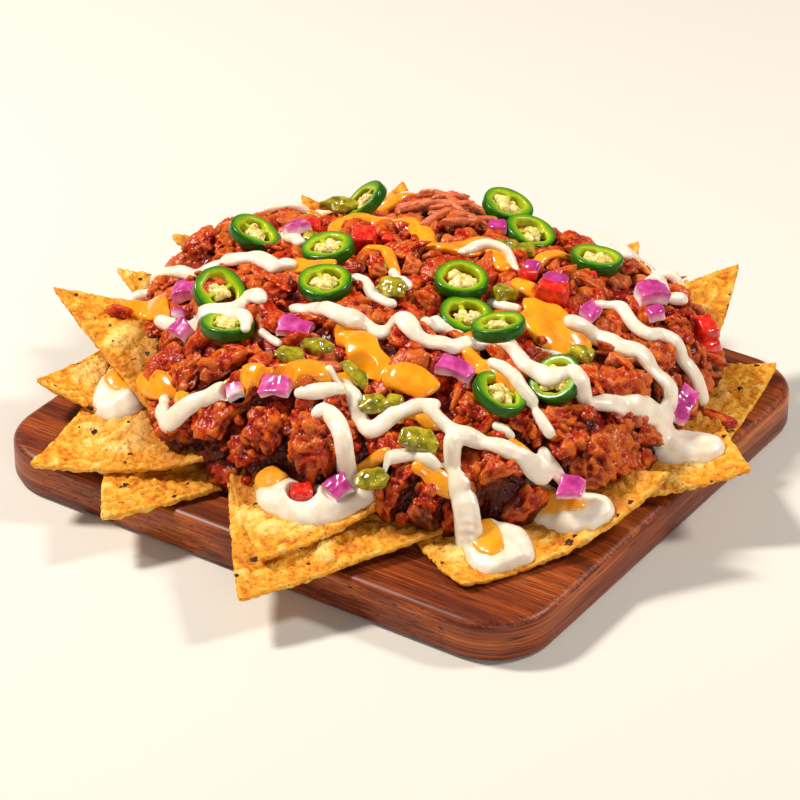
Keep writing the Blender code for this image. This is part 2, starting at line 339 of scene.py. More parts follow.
def makeBoard():
    low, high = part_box("board")
    bm = bmesh.new()
    bmesh.ops.create_cube(bm, size=1)
    bmesh.ops.scale(bm, vec=high - low, verts=bm.verts)
    bmesh.ops.translate(bm, vec=(low + high) / 2, verts=bm.verts)
    upright = [edge for edge in bm.edges if abs(edge.verts[0].co.z - edge.verts[1].co.z) > mm]
    bmesh.ops.bevel(bm, geom=upright, offset=board["corner"], segments=board["cornerSteps"],
                    profile=0.5, affect="EDGES", material=-1)
    rims = [edge for edge in bm.edges if edge.calc_face_angle() > math.radians(60)]
    bmesh.ops.bevel(bm, geom=rims, offset=board["rim"], segments=board["rimSteps"],
                    profile=0.5, affect="EDGES", material=-1)
    grain = bm.loops.layers.float_vector.new("grain")
    for face in bm.faces:                       # along the grain on top, round the board on its sides
        upward = abs(face.normal.z) > 0.5
        for loop in face.loops:
            spot = loop.vert.co
            turn = math.atan2(spot.x, spot.y) * 0.14
            loop[grain] = spot if upward else (turn, 0.3 + spot.z, 0.1)
    piece = addPiece("servingBoard", bm, [boardWood()], ["board"])
    piece.data.set_sharp_from_angle(angle=math.radians(50))


makeBoard()
report("board")


# ---- corn chips

# Each chip has the corner that sticks out, the two others, the bow of its middle and the bulge
# of its sides, all in mm.
chips = {
    "halvings": 7,
    "thickness": 2.2,
    "wave": (38, 2.4),
    "rimWidth": 1.1,
    "rimFine": 1.5,            # rows near the rim are closer together
    "blunt": (5, 1.0),         # how far from a tip it is drawn in, and by how much
    "corners": {
        "chip_left_upper": ((-158, -56, 59), (-66, -97, 38), (-80, -2, 47), 4, -1),
        "chip_left_lower": ((-134, -100, 39), (-136, -16, 28), (-58, -84, 26), 5, 1),
        "chip_front_left": ((-104, -143, 27), (-118, -60, 38), (-24, -100, 39), 8, 1),
        "chip_front_left_under": ((-55, -155, 22), (-112, -72, 23), (-4, -68, 24), 0, 1),
        "chip_front": ((26, -149, 28), (-34, -94, 36), (62, -70, 43), 4, 2),
        "chip_front_under": ((29, -170, 20), (-36, -88, 32), (78, -84, 27), 0, 1),
        "chip_front_right": ((103, -112, 23), (26, -66, 44), (148, -16, 45), 11, 5),
        "chip_right": ((167, 21, 33), (112, -34, 27), (98, 86, 35), 5, 0),
        "chip_right_under": ((126, 121, 24), (142, 32, 24), (54, 64, 29), 2, 1),
        "chip_back_right": ((88, 150, 52), (44, 66, 46), (114, 68, 30), 3, 1),
        "chip_back_right_low": ((66, 142, 40), (18, 70, 36), (92, 78, 32), 3, 1),
        "chip_back": ((36, 146, 50), (-8, 68, 42), (74, 66, 38), 3, 1),
        "chip_back_middle": ((-28, 150, 38), (-62, 72, 34), (22, 66, 32), 3, 1),
        "chip_back_left": ((-84, 124, 57), (-88, 40, 44), (-20, 72, 44), 3, 1),
        "chip_back_corner": ((-124, 94, 51), (-62, 30, 40), (-50, 104, 36), 3, 1),
        "chip_left_back": ((-153, 27, 50), (-72, 6, 42), (-94, 84, 36), 3, 1),
        "chip_left_middle": ((-162, -4, 43), (-84, -40, 32), (-92, 44, 32), 3, 1),
    },
    "blisters": 20,
    "blisterWidth": (4, 11),
    "blisterHeight": (1.0, 3.2),
}


# Fried corn dough: matt and grainy, gold with toasted patches, paler blisters and black specks
def friedCorn():
    corn = newMaterial("friedCornDough", Specular_IOR_Level=0.3, Subsurface_Weight=0.12,
                       Subsurface_Radius=(2.4, 1.1, 0.3), Subsurface_Scale=mm)
    place = ownPlace(corn)
    raised, soaked = keptValue(corn, "raised"), keptValue(corn, "soaked")
    patches, grains, pebbles = (addNoise(corn, place, *look) for look in ((14, 3), (1.6, 3), (0.7, 2)))
    tone = addMath(corn, "ADD", patches, grains)
    tone = addMath(corn, "MULTIPLY_ADD", raised, 0.7, tone)
    tone = addMath(corn, "MULTIPLY", tone, 0.42)
    gold = addRamp(corn, tone, (0.26, "#B45806"), (0.39, "#DA880E"), (0.53, "#EFAC30"), (0.75, "#FAD47A"))
    oily = addMix(corn, soaked, gold, "#B8701C")
    warped = addMix(corn, 0.003, place, grains.outputs["Color"])
    flecks = addCells(corn, warped, 5.5)
    limit = addMath(corn, "MULTIPLY_ADD", flecks.outputs["Color"], 0.9, -0.49)
    black = addMath(corn, "LESS_THAN", flecks.outputs["Distance"], limit)
    specked = addMix(corn, black, oily, "#2A1408")
    brownSpots = addCells(corn, warped, 3.4)
    brown = addRamp(corn, brownSpots.outputs["Distance"], (0.10, 0.7), (0.22, 0.0))
    spotted = addMix(corn, brown, specked, "#9A4E16")
    rough = addMath(corn, "MULTIPLY_ADD", pebbles, 0.5, grains)
    bump = addBump(corn, rough, 0.9, 1.0)
    sheen = addNode(corn, "MapRange", {"Value": soaked, "To Min": 0.58, "To Max": 0.3})
    addNode(corn, "Shader", {"Base Color": spotted, "Roughness": sheen, "Normal": bump})
    return corn


# A flat triangle of unit radius, cut into rows and doubled into an upper and a lower sheet that
# share their rim
def chipBlank():
    bm = bmesh.new()
    bmesh.ops.create_circle(bm, cap_ends=True, radius=1, segments=3)
    corners = [vert.co.xy for vert in bm.verts]
    for _ in range(chips["halvings"]):
        bmesh.ops.subdivide_edges(bm, edges=bm.edges, cuts=1, use_grid_fill=True)
    bm.normal_update()
    if sum(face.normal.z for face in bm.faces) < 0:
        bmesh.ops.reverse_faces(bm, faces=bm.faces)
    rim = [vert for vert in bm.verts if vert.is_boundary]
    for vert in bm.verts:
        vert.co.z = 0 if vert.is_boundary else 0.1
    lower = bmesh.ops.duplicate(bm, geom=bm.faces)["geom"]
    lowerVerts = [item for item in lower if isinstance(item, bmesh.types.BMVert)]
    for vert in lowerVerts:
        vert.co.z *= -1
    bmesh.ops.reverse_faces(bm, faces=[item for item in lower if isinstance(item, bmesh.types.BMFace)])
    bmesh.ops.remove_doubles(bm, verts=rim + [vert for vert in lowerVerts if vert.co.z == 0], dist=1e-5)
    blank = meshFrom("chipBlank", bm)
    flat = pointsOf(blank) / 1000
    basis = np.array([[corner.x for corner in corners], [corner.y for corner in corners], [1, 1, 1]])
    weights = np.linalg.solve(basis, np.column_stack([flat[:, :2], np.ones(len(flat))]).T).T
    return blank, np.clip(weights, 0, 1), np.sign(np.round(flat[:, 2], 4))


def makeChip(name, blank, weights, side, material, heap, rng):
    *corners, bow, bulge = chips["corners"][name]
    corners = np.array(corners, float)
    normal = np.cross(corners[1] - corners[0], corners[2] - corners[0])
    area = np.linalg.norm(normal)
    normal *= np.sign(normal[2]) / area
    lengths = np.linalg.norm(corners[[2, 0, 1]] - corners[[1, 2, 0]], axis=1)
    reach = area / lengths                                  # height of the triangle on each side
    weights = weights * weights / (weights + chips["rimFine"] / 2 ** chips["halvings"])
    weights /= weights.sum(1, keepdims=True)
    inside = (weights * reach).min(1)                       # distance to the nearest side
    points = weights @ corners
    middle = corners.mean(0)
    for first, second in ((0, 1), (1, 2), (2, 0)):
        outward = (corners[first] + corners[second]) / 2 - middle
        share = weights[:, first] * weights[:, second]
        points += np.outer(4 * share * bulge, outward / np.linalg.norm(outward))
    pairs = (weights * weights[:, [1, 2, 0]]).sum(1)
    waveSize, waveHeight = chips["wave"]
    wave = noiseAt(points, waveSize) * waveHeight * (1 - weights.max(1))
    tipReach, tipDepth = chips["blunt"]
    for corner in corners:
        toTip = np.linalg.norm(points - corner, axis=1)
        pull = tipDepth * np.clip(1 - toTip / tipReach, 0, 1) ** 2
        points += np.outer(pull, (middle - corner) / np.linalg.norm(middle - corner))
    seed = rng.uniform(0, 50)
    crumbly = noiseAt(points, 1.7, seed) * 0.5 + noiseAt(points, 5, seed) * 0.7
    rim = np.clip(1 - inside / 3.5, 0, 1)
    outline = points - middle
    outline -= np.outer(outline @ normal, normal)
    outline /= np.linalg.norm(outline, axis=1, keepdims=True) + 1e-9
    points += outline * (crumbly * rim)[:, None]
    puff = np.zeros(len(points))
    for _ in range(chips["blisters"]):
        centre = np.array([rng.random() for _ in range(3)]) + 0.12
        centre = (centre / centre.sum()) @ corners
        axis = anyWay(rng)
        width = rng.uniform(*chips["blisterWidth"])
        height = rng.uniform(*chips["blisterHeight"])
        away = points - centre
        along = away @ axis
        spread = (away ** 2).sum(1) - 0.55 * along ** 2     # longer along the axis
        puff = np.maximum(puff, height * np.clip(1 - spread / width ** 2, 0, 1) ** 1.5)
    puff *= np.where(side > 0, 1, -0.5) * smoothStep(inside, 0, 4)
    pebble = np.abs(noiseAt(points + side[:, None] * 9, 5.5, seed)) * 2.1
    pebble += np.abs(noiseAt(points + side[:, None] * 9, 2.4, seed)) * 1.0
    domed = np.sqrt(1 - (1 - np.clip(inside / chips["rimWidth"], 0, 1)) ** 2)
    height = side * (chips["thickness"] / 2 * domed + (pebble - 0.5) * domed) + puff
    points += np.outer(height + wave - 3 * pairs * bow, normal)
    raised = np.clip(np.abs(puff) * 0.5 + (pebble - 0.55) * 0.6, -0.4, 1) + 0.25 * rim
    piece = addPiece(name.replace("chip_", "cornChip_"), blank.copy(), [material], [name])
    movePoints(piece.data, points)
    keepValues(piece.data, "raised", raised)
    away = distanceTo(heap, points)
    stain = (1 - smoothStep(away + noiseAt(points, 9, seed) * 7, 2, 16)) * 0.75
    keepValues(piece.data, "soaked", stain)
    return piece


def makeChips():
    material = friedCorn()
    blank, weights, side = chipBlank()
    heap = treeOf([frame["nodes"]["heap"].data])
    made = [makeChip(name, blank, weights, side, material, heap, random.Random(7 * index))
            for index, name in enumerate(chips["corners"])]
    bpy.data.meshes.remove(blank)
    return made


chipPieces = makeChips()
report("corn chips")


# ---- toppings

# Each slice has its middle, its lean from flat and the direction it leans toward, in mm and
# degrees anticlockwise from +X, then the number of seed chambers.
jalapenos = {
    "radius": 12.2,
    "oval": 0.96,
    "thickness": 5.5,
    "wall": 3.9,
    "places": (
        (-92, 12, 76, 23, 25, 3), (-65, 63, 78, 42, -146, 2), (-47, 7, 84, 10, -139, 3),
        (-73, -41, 76, 33, -30, 2), (-30, -20, 84, 9, -86, 3), (-54, -61, 74, 6, 124, 2),
        (21, 13, 86, 9, -42, 0), (-9, 99, 76, 17, 9, 3), (13, 84, 75, 19, 10, 2),
        (54, 75, 78, 8, 64, 2), (34, -3, 79, 14, -25, 3), (56, -11, 85, 12, 175, 3),
        (92, -21, 75, 33, -104, 2), (77, -43, 74, 23, 9, 2),
    ),
}


def stance(place, lean, toward):
    turn = math.radians(toward)
    axis = Vector((-math.sin(turn), math.cos(turn), 0))
    return Matrix.Translation(Vector(place)) @ Matrix.Rotation(math.radians(lean), 4, axis)


# Fresh pepper: waxy dark skin outside, then wet flesh that pales towards the seeds
def pepperFlesh():
    return wetFood("freshPepper", (1.0, 1.6, 0.4), (1.8, 3), (
        (0.0, "#1C5600"), (0.12, "#286604"), (0.3, "#4A8A0A"), (0.62, "#7FA60C"), (0.95, "#B4C41E")),
        (0.35, 0.25), fine=(0.8, 2), shift=(0.3, -0.15), Roughness=0.28, Specular_IOR_Level=0.25,
        Coat_Weight=0.25, Coat_Roughness=0.06, Subsurface_Weight=0.1)


# Pepper seeds and pith: cream coloured, smooth and wet
def pepperSeed():
    return wetFood("pepperSeed", (1.5, 1.2, 0.5), (2.4, 2), (
        (0.30, "#C49A38"), (0.44, "#EED47C"), (0.68, "#FAE8A8")),
        (0.3, 0.4), Roughness=0.3, Coat_Weight=0.3, Coat_Roughness=0.15, Subsurface_Weight=0.3)

# The ring of skin and flesh: its section is spun round, then the inside is pushed into lobes
def sliceRing(bm, chambers, rng):
    radius, half = jalapenos["radius"], jalapenos["thickness"] / 2
    inner = radius - jalapenos["wall"]
    section = ((radius, half - 0.9), (radius - 0.25, half - 0.3), (radius - 0.9, half),
               (radius - 2, half - 0.1), (inner + 0.8, half - 0.15), (inner + 0.2, half - 0.5),
               (inner, half - 1.3))
    section += tuple((across, -height) for across, height in reversed(section))
    verts = [bm.verts.new((across, 0, height)) for across, height in section]
    edges = [bm.edges.new((verts[at - 1], verts[at])) for at in range(len(verts))]
    bmesh.ops.spin(bm, geom=verts + edges, cent=(0, 0, 0), axis=(0, 0, 1), angle=math.tau,
                   steps=72, use_merge=True)
    bmesh.ops.recalc_face_normals(bm, faces=bm.faces)
    depth = bm.verts.layers.float.new("depth")
    turn, count = rng.uniform(0, math.tau), max(chambers, 2)
    for vert in bm.verts:
        across = vert.co.xy.length
        angle = math.atan2(vert.co.y, vert.co.x)
        share = max(0, (radius - across) / jalapenos["wall"])
        vert[depth] = share
        lobe = 0.5 + 0.5 * math.cos(count * (angle - turn))
        lobe = 1 - (1 - lobe) ** 3 if chambers else 1
        ripple = noise.noise(Vector((vert.co.x, vert.co.y, turn)) / 4) * 0.7
        vert.co.xy *= (across + share * ((lobe - 1) * 2.0 + ripple)) / across
        vert.co.xy *= 1 + 0.02 * math.cos(3 * angle + turn)
    return turn, count


# Ribs run from the ring to the pith, between the chambers
def sliceRibs(bm, chambers, turn, count):
    depth = bm.verts.layers.float["depth"]
    for index in range(count if chambers else 0):
        angle = turn + (index + 0.5) * math.tau / count
        rib = addGridCube(bm, 4)
        for vert in rib:
            vert[depth] = 0.95
            flare = 1 + 2.2 * max(0, vert.co.x) ** 2
            vert.co = Vector((vert.co.x * 8, vert.co.y * 1.5 * flare, vert.co.z * 3.6))
            vert.co.y += noise.noise(vert.co / 3) * 0.8
            vert.co.x += 5.2
        moveVerts(rib, Matrix.Rotation(angle, 4, "Z"))


# Clumps of pith and seeds sit in the chambers, loosely round the middle
def sliceSeeds(bm, rng, chambers):
    spots = []
    turn = rng.uniform(0, math.tau)
    for index in range(rng.choice((3, 4, 4))):
        angle = turn + index * 1.7 + rng.uniform(-0.4, 0.4)
        away = rng.uniform(1.2, 4.2)
        spots.append((math.cos(angle) * away, math.sin(angle) * away, rng.uniform(2.4, 3.4)))
    for x, y, size in spots:
        for part in range(6):
            lump = bmesh.ops.create_icosphere(bm, subdivisions=3 if part < 2 else 2, radius=1)["verts"]
            reach = size * (1 if part == 0 else rng.uniform(0.45, 0.75))
            side = rng.uniform(0, math.tau)
            gap = 0 if part == 0 else size * rng.uniform(0.5, 1.0)
            flat = rng.uniform(0.5, 0.9)
            place = Vector((x + math.cos(side) * gap, y + math.sin(side) * gap, rng.uniform(-0.4, 1.2)))
            tilt = Matrix.Rotation(rng.uniform(-0.9, 0.9), 4, "X") @ Matrix.Rotation(side, 4, "Z")
            for vert in lump:
                vert.co *= reach * (1 + 0.3 * noise.noise(vert.co * 1.9 + place * 3))
                vert.co.z *= flat
            moveVerts(lump, Matrix.Translation(place) @ tilt)


def makeSlices():
    flesh, pith = pepperFlesh(), pepperSeed()
    made = []
    for index, (*place, lean, toward, chambers) in enumerate(jalapenos["places"], 1):
        rng = random.Random(31 * index)
        bm = bmesh.new()
        turn, count = sliceRing(bm, chambers, rng)
        sliceRibs(bm, chambers, turn, count)
        green = len(bm.faces)
        sliceSeeds(bm, rng, chambers)
        bm.faces.ensure_lookup_table()
        for face in bm.faces[green:]:
            face.material_index = 1
        pose = stance(place, lean, toward) @ Matrix.Diagonal((1, jalapenos["oval"], 1, 1))
        moveVerts(bm.verts, Matrix.Scale(mm, 4) @ pose)
        made.append(addPiece(f"jalapenoSlice_{index}", bm, [flesh, pith],
                             [f"jalapeno_{index}"]))
    return made


slicePieces = makeSlices()
report("jalapeno slices")


# Cut onion: magenta skin side, nearly white and streaked inside, wet
def onionLayers():
    return wetFood("redOnion", (1.8, 0.9, 1.6), (6, 2), (
        (0.05, "#B02A80"), (0.22, "#CE4C9C"), (0.45, "#E694C6"), (0.85, "#FAE8F0")),
        (0.25, 0.2), fine=(3.2, 1), shift=(0.4, -0.35), streaked=True, Roughness=0.22,
        Coat_Weight=0.4, Coat_Roughness=0.1, Subsurface_Weight=0.4)


# Diced tomato: wet red flesh, slightly see-through at the edges
def tomatoFlesh():
    return wetFood("tomatoFlesh", (2.5, 0.5, 0.2), (3, 3), (
        (0.3, "#B30F08"), (0.5, "#DE2412"), (0.75, "#F0512C")),
        (0.4, 0.5), Roughness=0.2, Coat_Weight=0.6, Coat_Roughness=0.08, Subsurface_Weight=0.3)


# Pickled pepper: olive, soft, wet and slightly see-through
def pickledPepper():
    return wetFood("pickledPepper", (2.0, 1.6, 0.3), (4, 3), (
        (0.3, "#5C5A08"), (0.45, "#8C840C"), (0.6, "#B2A416"), (0.8, "#D6C63E")),
        (0.5, 0.25), fine=(1.3, 2), Roughness=0.16, Coat_Weight=0.7, Coat_Roughness=0.06,
        Subsurface_Weight=0.45)


# Softened copies of the CAD dice: rounds of smoothing, then uneven lumps of a size and height
diceVoxel = 0.5
dice = {
    "onion": {"title": "redOnion", "slot": "red_onion", "material": onionLayers(),
              "smooth": 4, "lump": (6, 1.1), "shrink": 0.7},
    "tomato": {"title": "tomato", "slot": "tomato", "material": tomatoFlesh(),
               "smooth": 3, "lump": (4, 0.7), "shrink": 0},
    "pickle": {"title": "pickledPepper", "slot": "pickle", "material": pickledPepper(),
               "smooth": 6, "lump": (5, 1.6), "shrink": 0},
}


def makeDie(name):
    kind, number = name.split("_")
    settings = dice[kind]
    soft = softened(mergedCopy(name, name), diceVoxel, settings["smooth"], 0.5)
    points = pointsOf(soft)
    middle = points.mean(0)
    outward = points - middle
    size, height = settings["lump"]
    outward /= np.linalg.norm(outward, axis=1, keepdims=True)
    points += outward * (noiseAt(points, size) * height - settings["shrink"])[:, None]
    thin = np.linalg.eigh(np.cov((points - middle).T))[1][:, 0]
    thin *= np.sign(thin[2]) or 1
    along = (points - middle) @ thin
    movePoints(soft, points)
    keepValues(soft, "depth", (along.max() - along) / (along.max() - along.min()))
    addPiece(f"{settings['title']}Dice_{number}", soft, [settings["material"]], [name])


diceNames = [name for kind in dice for name in frame["nodes"] if name.startswith(kind)]
for dieName in diceNames:
    makeDie(dieName)
report("dice")


# ---- where the sauces lie

# Strokes hold plan points with the half width there, in mm. Cream runs in strands and pools.
sauces = {
    "grid": 0.8,
    "spread": ((-166, 160), (-132, 118)),
    "none": -26.0,             # the depth where no sauce lies
    "poolDeep": 6.2,
    "yolkDeep": 1.3,
    "creamThick": 2.5,
    "cheeseThick": 1.8,
    "under": 0.4,
    "above": 14,               # how far over the heap a strand starts to look for food
    "follow": (-3, 9),         # how far it sinks and climbs to follow what it finds
    "voxel": 0.85,
    "smooth": 8,
    "sides": 2.6,
}

creamStrands = (
    ((-150, -24, 2.2), (-143, -15, 3.2), (-134, -9, 3.6), (-120, -10, 3.6), (-105, -13, 4), (-95, -9, 4.4),
     (-83, -12, 4.2), (-73, -10, 4.6), (-60, -14, 4.4), (-52, -14, 3)),
    ((-90, 23, 3), (-73, 15, 3.6), (-63, 8, 3.2)),
    ((-12, 7, 3), (1, 0, 3)),
    ((-23, -6, 3), (-12, -9, 3.4), (1, -13, 3)),
    ((-60, -38, 3.4), (-54, -40, 4.6), (-47, -43, 3)),
    ((-97, -52, 3.4), (-78, -57, 4.6), (-65, -54, 5), (-59, -48, 4.6), (-58, -40, 3.4)),
    ((-58, -50, 3), (-50, -54, 3.4), (-41, -63, 3)),
    ((-40, -56, 2.4), (-27, -59, 2.4)),
    ((-37, -35, 3), (-24, -35, 4.4), (-7, -41, 4.8), (-1, -36, 4.8), (9, -35, 4.8), (18, -31, 4.6),
     (29, -37, 4.8), (38, -34, 4.6), (45, -30, 4.4), (50, -21, 4.4), (60, -16, 4.4), (70, -19, 4.6),
     (77, -22, 4.6), (85, -19, 4.4), (91, -22, 4.6), (94, -17, 4.4), (101, -21, 4.4), (107, -14, 4.4),
     (112, 0, 5), (117, 9, 6), (122, 18, 7.5), (126, 23, 8)),
    ((27, -26, 4), (29, -17, 5.4), (38, -16, 4)),
    ((66, -30, 2.6), (79, -34, 3.6), (88, -35, 3.4)),
    ((72, -3, 2.6), (81, 0, 2.6)),
    ((91, -37, 2.8), (101, -40, 2.8)),
    ((81, -53, 2.6), (89, -52, 2.6)),
    ((35, 15, 3), (44, 14, 3.6), (50, 16, 3)),
    ((7, 33, 2.6), (10, 45, 3.4), (21, 49, 3.6), (30, 44, 3)),
    ((8, 86, 3), (16, 90, 3)),
    ((34, 104, 2.6), (41, 100, 3.4), (51, 97, 3.6), (59, 93, 3.4)),
    ((79, 77, 3), (82, 85, 3.4), (88, 81, 3.2), (92, 88, 3)),
    ((73, 42, 2.6), (79, 50, 3.4), (89, 46, 3.6), (97, 46, 3.6), (100, 54, 3.6), (106, 57, 3.8),
     (114, 58, 4), (120, 58, 4.4)),
    ((72, 22, 3.8), (84, 29, 5), (95, 28, 5.8), (100, 32, 6.2), (113, 32, 6.4), (120, 32, 6.6),
     (124, 22, 6.6)),
    ((-27, -89, 4), (-37, -94, 4.2), (-46, -97, 4.8), (-52, -100, 5.2), (-62, -95, 4.6), (-69, -89, 4)),
    ((2, -87, 3), (11, -82, 4), (17, -77, 3)),
    ((6, -72, 3), (15, -70, 4.2), (24, -75, 4.4), (29, -79, 4.2), (38, -81, 4.4), (43, -74, 4.2),
     (50, -66, 3.6), (56, -61, 3)),
    ((13, -90, 2.6), (16, -86, 4), (23, -88, 4.4), (30, -92, 4.4), (35, -96, 4.4), (38, -100, 5)),
    ((51, -88, 3), (58, -84, 3.4), (69, -81, 3)),
    ((68, -70, 3.6), (74, -75, 5), (82, -80, 6), (92, -81, 7)),
    ((50, -64, 3), (64, -66, 4), (75, -63, 4), (85, -62, 3.6), (93, -59, 4.4), (99, -56, 5),
     (106, -53, 6)),
    ((102, -46, 3), (108, -47, 3.6), (112, -46, 3)),
    ((-112, 52, 3), (-102, 70, 4), (-86, 84, 4.4), (-78, 102, 4), (-58, 104, 4), (-46, 120, 3.4)),
    ((-34, 102, 3), (-16, 106, 4), (-2, 124, 4.4), (16, 112, 4), (28, 126, 3.4)),
    ((44, 112, 3), (60, 118, 4), (70, 104, 4), (84, 104, 3)),
)
# Each pool lies on one chip, and the meat keeps clear of it
creamPools = (
    ("chip_right", ((112, 26, 7), (122, 22, 11), (132, 24, 12), (139, 29, 9))),
    ("chip_front_left", ((-106, -79, 11.5), (-99, -83, 13))),
    ("chip_front", ((-2, -104, 6), (6, -109, 9), (16, -112, 10), (26, -111, 10.5), (34, -105, 9),
                    (40, -97, 7), (44, -89, 6))),
    ("chip_front_right", ((93, -79, 9), (101, -82, 13), (107, -85, 12.5))),
    ("chip_front_right", ((97, -48, 6), (105, -51, 8), (113, -51, 9.5), (121, -48, 9.5),
                          (127, -45, 8.5))),
)
cheeseRibbons = (
    ((-125, -42, 5), (-115, -38, 7), (-105, -44, 6.5), (-98, -50, 5)),
    ((-88, -77, 5), (-82, -81, 7), (-74, -84, 7), (-66, -87, 5)),
    ((-54, -13, 4.6), (-47, -7, 6), (-39, -4, 5)),
    ((-60, 21, 4), (-62, 32, 5), (-62, 43, 5.4), (-54, 52, 6), (-42, 52, 6), (-27, 50, 6),
     (-18, 44, 5.4), (-11, 36, 6), (0, 33, 6), (5, 42, 6), (8, 55, 6)),
    ((-14, 41, 6), (-4, 38, 7), (2, 40, 8), (6, 52, 8), (14, 50, 6), (19, 46, 5), (26, 40, 4.4)),
    ((-33, 11, 2.6), (-25, 12, 3.2), (-21, 15, 3.2), (-10, 8, 3)),
    ((-36, -91, 3.5), (-30, -89, 5), (-20, -86, 5.4), (-10, -81, 5.6), (0, -75, 6), (8, -67, 6),
     (15, -64, 4)),
    ((-6, -41, 5), (2, -46, 6.4), (12, -52, 7), (22, -55, 7), (32, -57, 7), (42, -56, 6)),
    ((-2, -48, 4), (6, -47, 6.4), (13, -49, 6.4), (19, -52, 5), (28, -57, 6), (35, -56, 7),
     (46, -54, 6.4), (51, -52, 4)),
    ((-8, -83, 5), (-2, -79, 6.4), (4, -74, 7), (11, -64, 5)),
    ((42, -19, 4), (48, -14, 5), (57, -12, 4)),
    ((46, -26, 4), (54, -30, 4), (62, -31, 5), (71, -32, 5.4), (79, -32, 4)),
    ((54, 19, 6), (64, 21, 8), (74, 20, 8.6), (83, 16, 6)),
    ((58, 12, 7), (68, 9, 8.6), (77, 7, 7), (84, 4, 4)),
    ((38, 48, 3), (34, 56, 3.6), (35, 66, 3.8), (39, 75, 3.4)),
    ((38, 33, 4), (46, 31, 5), (54, 33, 4)),
    ((44, -73, 4.4), (49, -66, 6.4), (60, -66, 5)),
    ((37, -94, 3), (44, -89, 3.4), (50, -86, 3)),
    ((63, -86, 4), (71, -84, 6), (79, -81, 4)),
    ((90, -54, 3), (95, -54, 4), (100, -53, 3)),
    ((-56, -92, 4), (-47, -98, 4)),
    ((-96, 62, 4), (-84, 76, 6), (-70, 88, 5), (-62, 98, 4)),
    ((-44, 104, 4), (-28, 112, 6), (-12, 118, 6), (4, 116, 4)),
    ((46, 92, 4), (56, 104, 5.4), (66, 108, 4)),
    ((143, 22, 3.4), (150, 21, 5), (158, 18, 3)),
)
cheeseYolks = (
    ((-106, -76, 6), (-100, -77, 7.5), (-95, -75, 5)),
    ((-14, -103, 6), (-6, -105, 7.5), (3, -106, 6.5)),
    ((91, -80, 6), (97, -84, 7.5), (102, -87, 6)),
    ((100, -54, 4), (107, -53, 6), (115, -50, 5), (121, -48, 3)),
)


(west, east), (south, north) = sauces["spread"]
gridX, gridY = np.meshgrid(np.arange(west, east, sauces["grid"]), np.arange(south, north, sauces["grid"]))


# The height of the first surface under each grid point, from plumb lines
def dropOnto(tree):
    heights = np.full(gridX.shape, bareHeight)
    for at in np.ndindex(gridX.shape):
        spot = plumb(tree, gridX[at], gridY[at])[0]
        if spot is not None:
            heights[at] = spot.z / mm
    return heights


def spreadHighest(heights, reach):
    steps = round(reach / sauces["grid"])
    for axis in (0, 1):
        heights = np.max([np.roll(heights, shift, axis) for shift in range(-steps, steps + 1)], axis=0)
    return heights


def blurred(heights, spread):
    offsets = np.arange(-round(3 * spread / sauces["grid"]), round(3 * spread / sauces["grid"]) + 1)
    weights = np.exp(-0.5 * (offsets * sauces["grid"] / spread) ** 2)
    weights /= weights.sum()
    for axis in (0, 1):
        heights = sum(np.roll(heights, shift, axis) * weight for shift, weight in zip(offsets, weights))
    return heights


# How deep the sauce lies at each grid point: rounded across each stroke, and below zero beyond
def sauceDepth(strokes, deep):
    depth = np.full(gridX.shape, sauces["none"])
    for number, stroke in enumerate(strokes):
        for place in smoothLine(stroke, 0.8):
            sway = noise.noise(Vector((place.x, place.y, 9 * number)) / 9)
            wide = place.z * (1 + 0.2 * sway)
            high = deep * min(1, wide / 4) * (1 + 0.3 * noise.noise(Vector((place.x, place.y, 50)) / 7))
            part = tuple(slice(max(int((value - side - wide - 10) / sauces["grid"]), 0),
                               int((value - side + wide + 10) / sauces["grid"]) + 1)
                         for value, side in ((place.y, south), (place.x, west)))
            away = np.sqrt((gridX[part] - place.x) ** 2 + (gridY[part] - place.y) ** 2) / wide
            rounded = np.sqrt(np.clip(1 - away ** 2, 0, None)) * high
            beyond = -(away - 1) * wide * sauces["sides"]
            depth[part] = np.maximum(depth[part], np.where(away < 1, rounded, beyond))
    return depth


def onGrid(grid, points):
    column, row = (np.clip(np.round((points[:, axis] - side) / sauces["grid"]).astype(int), 0, count - 1)
                   for axis, side, count in ((0, west, grid.shape[1]), (1, south, grid.shape[0])))
    return grid[row, column]


# Where the pools lie and how high the chip under each one is
def poolFloor():
    floor, zone = np.zeros(gridX.shape), np.full(gridX.shape, sauces["none"])
    for name, stroke in creamPools:
        chip = bpy.data.objects[name.replace("chip_", "cornChip_")]
        height = dropOnto(pieceTree([chip]))
        bare = height < boardTop
        edge = spreadHighest(1.0 * bare, 0.8) > 0
        height = np.maximum(height, spreadHighest(height, 4) * bare)
        depth = sauceDepth((stroke,), sauces["poolDeep"])
        depth[edge] = sauces["none"]
        floor = np.where(depth > zone, height, floor)
        zone = np.maximum(zone, depth)
    return zone, floor


poolDepth, poolBase = poolFloor()
poolSlope = np.gradient(blurred(poolDepth, 1.5), sauces["grid"])


# Moves a plan point away from the pools until it has this much room
def keptClear(x, y, room):
    for _ in range(40):
        spot = np.array([[x, y]])
        if onGrid(poolDepth, spot)[0] < -sauces["sides"] * room:
            break
        up, across = (onGrid(slope, spot)[0] for slope in poolSlope)
        length = math.hypot(up, across) + 1e-6
        x, y = x - 0.8 * across / length, y - 0.8 * up / length
    return x, y


report("sauce layout")


# ---- meat

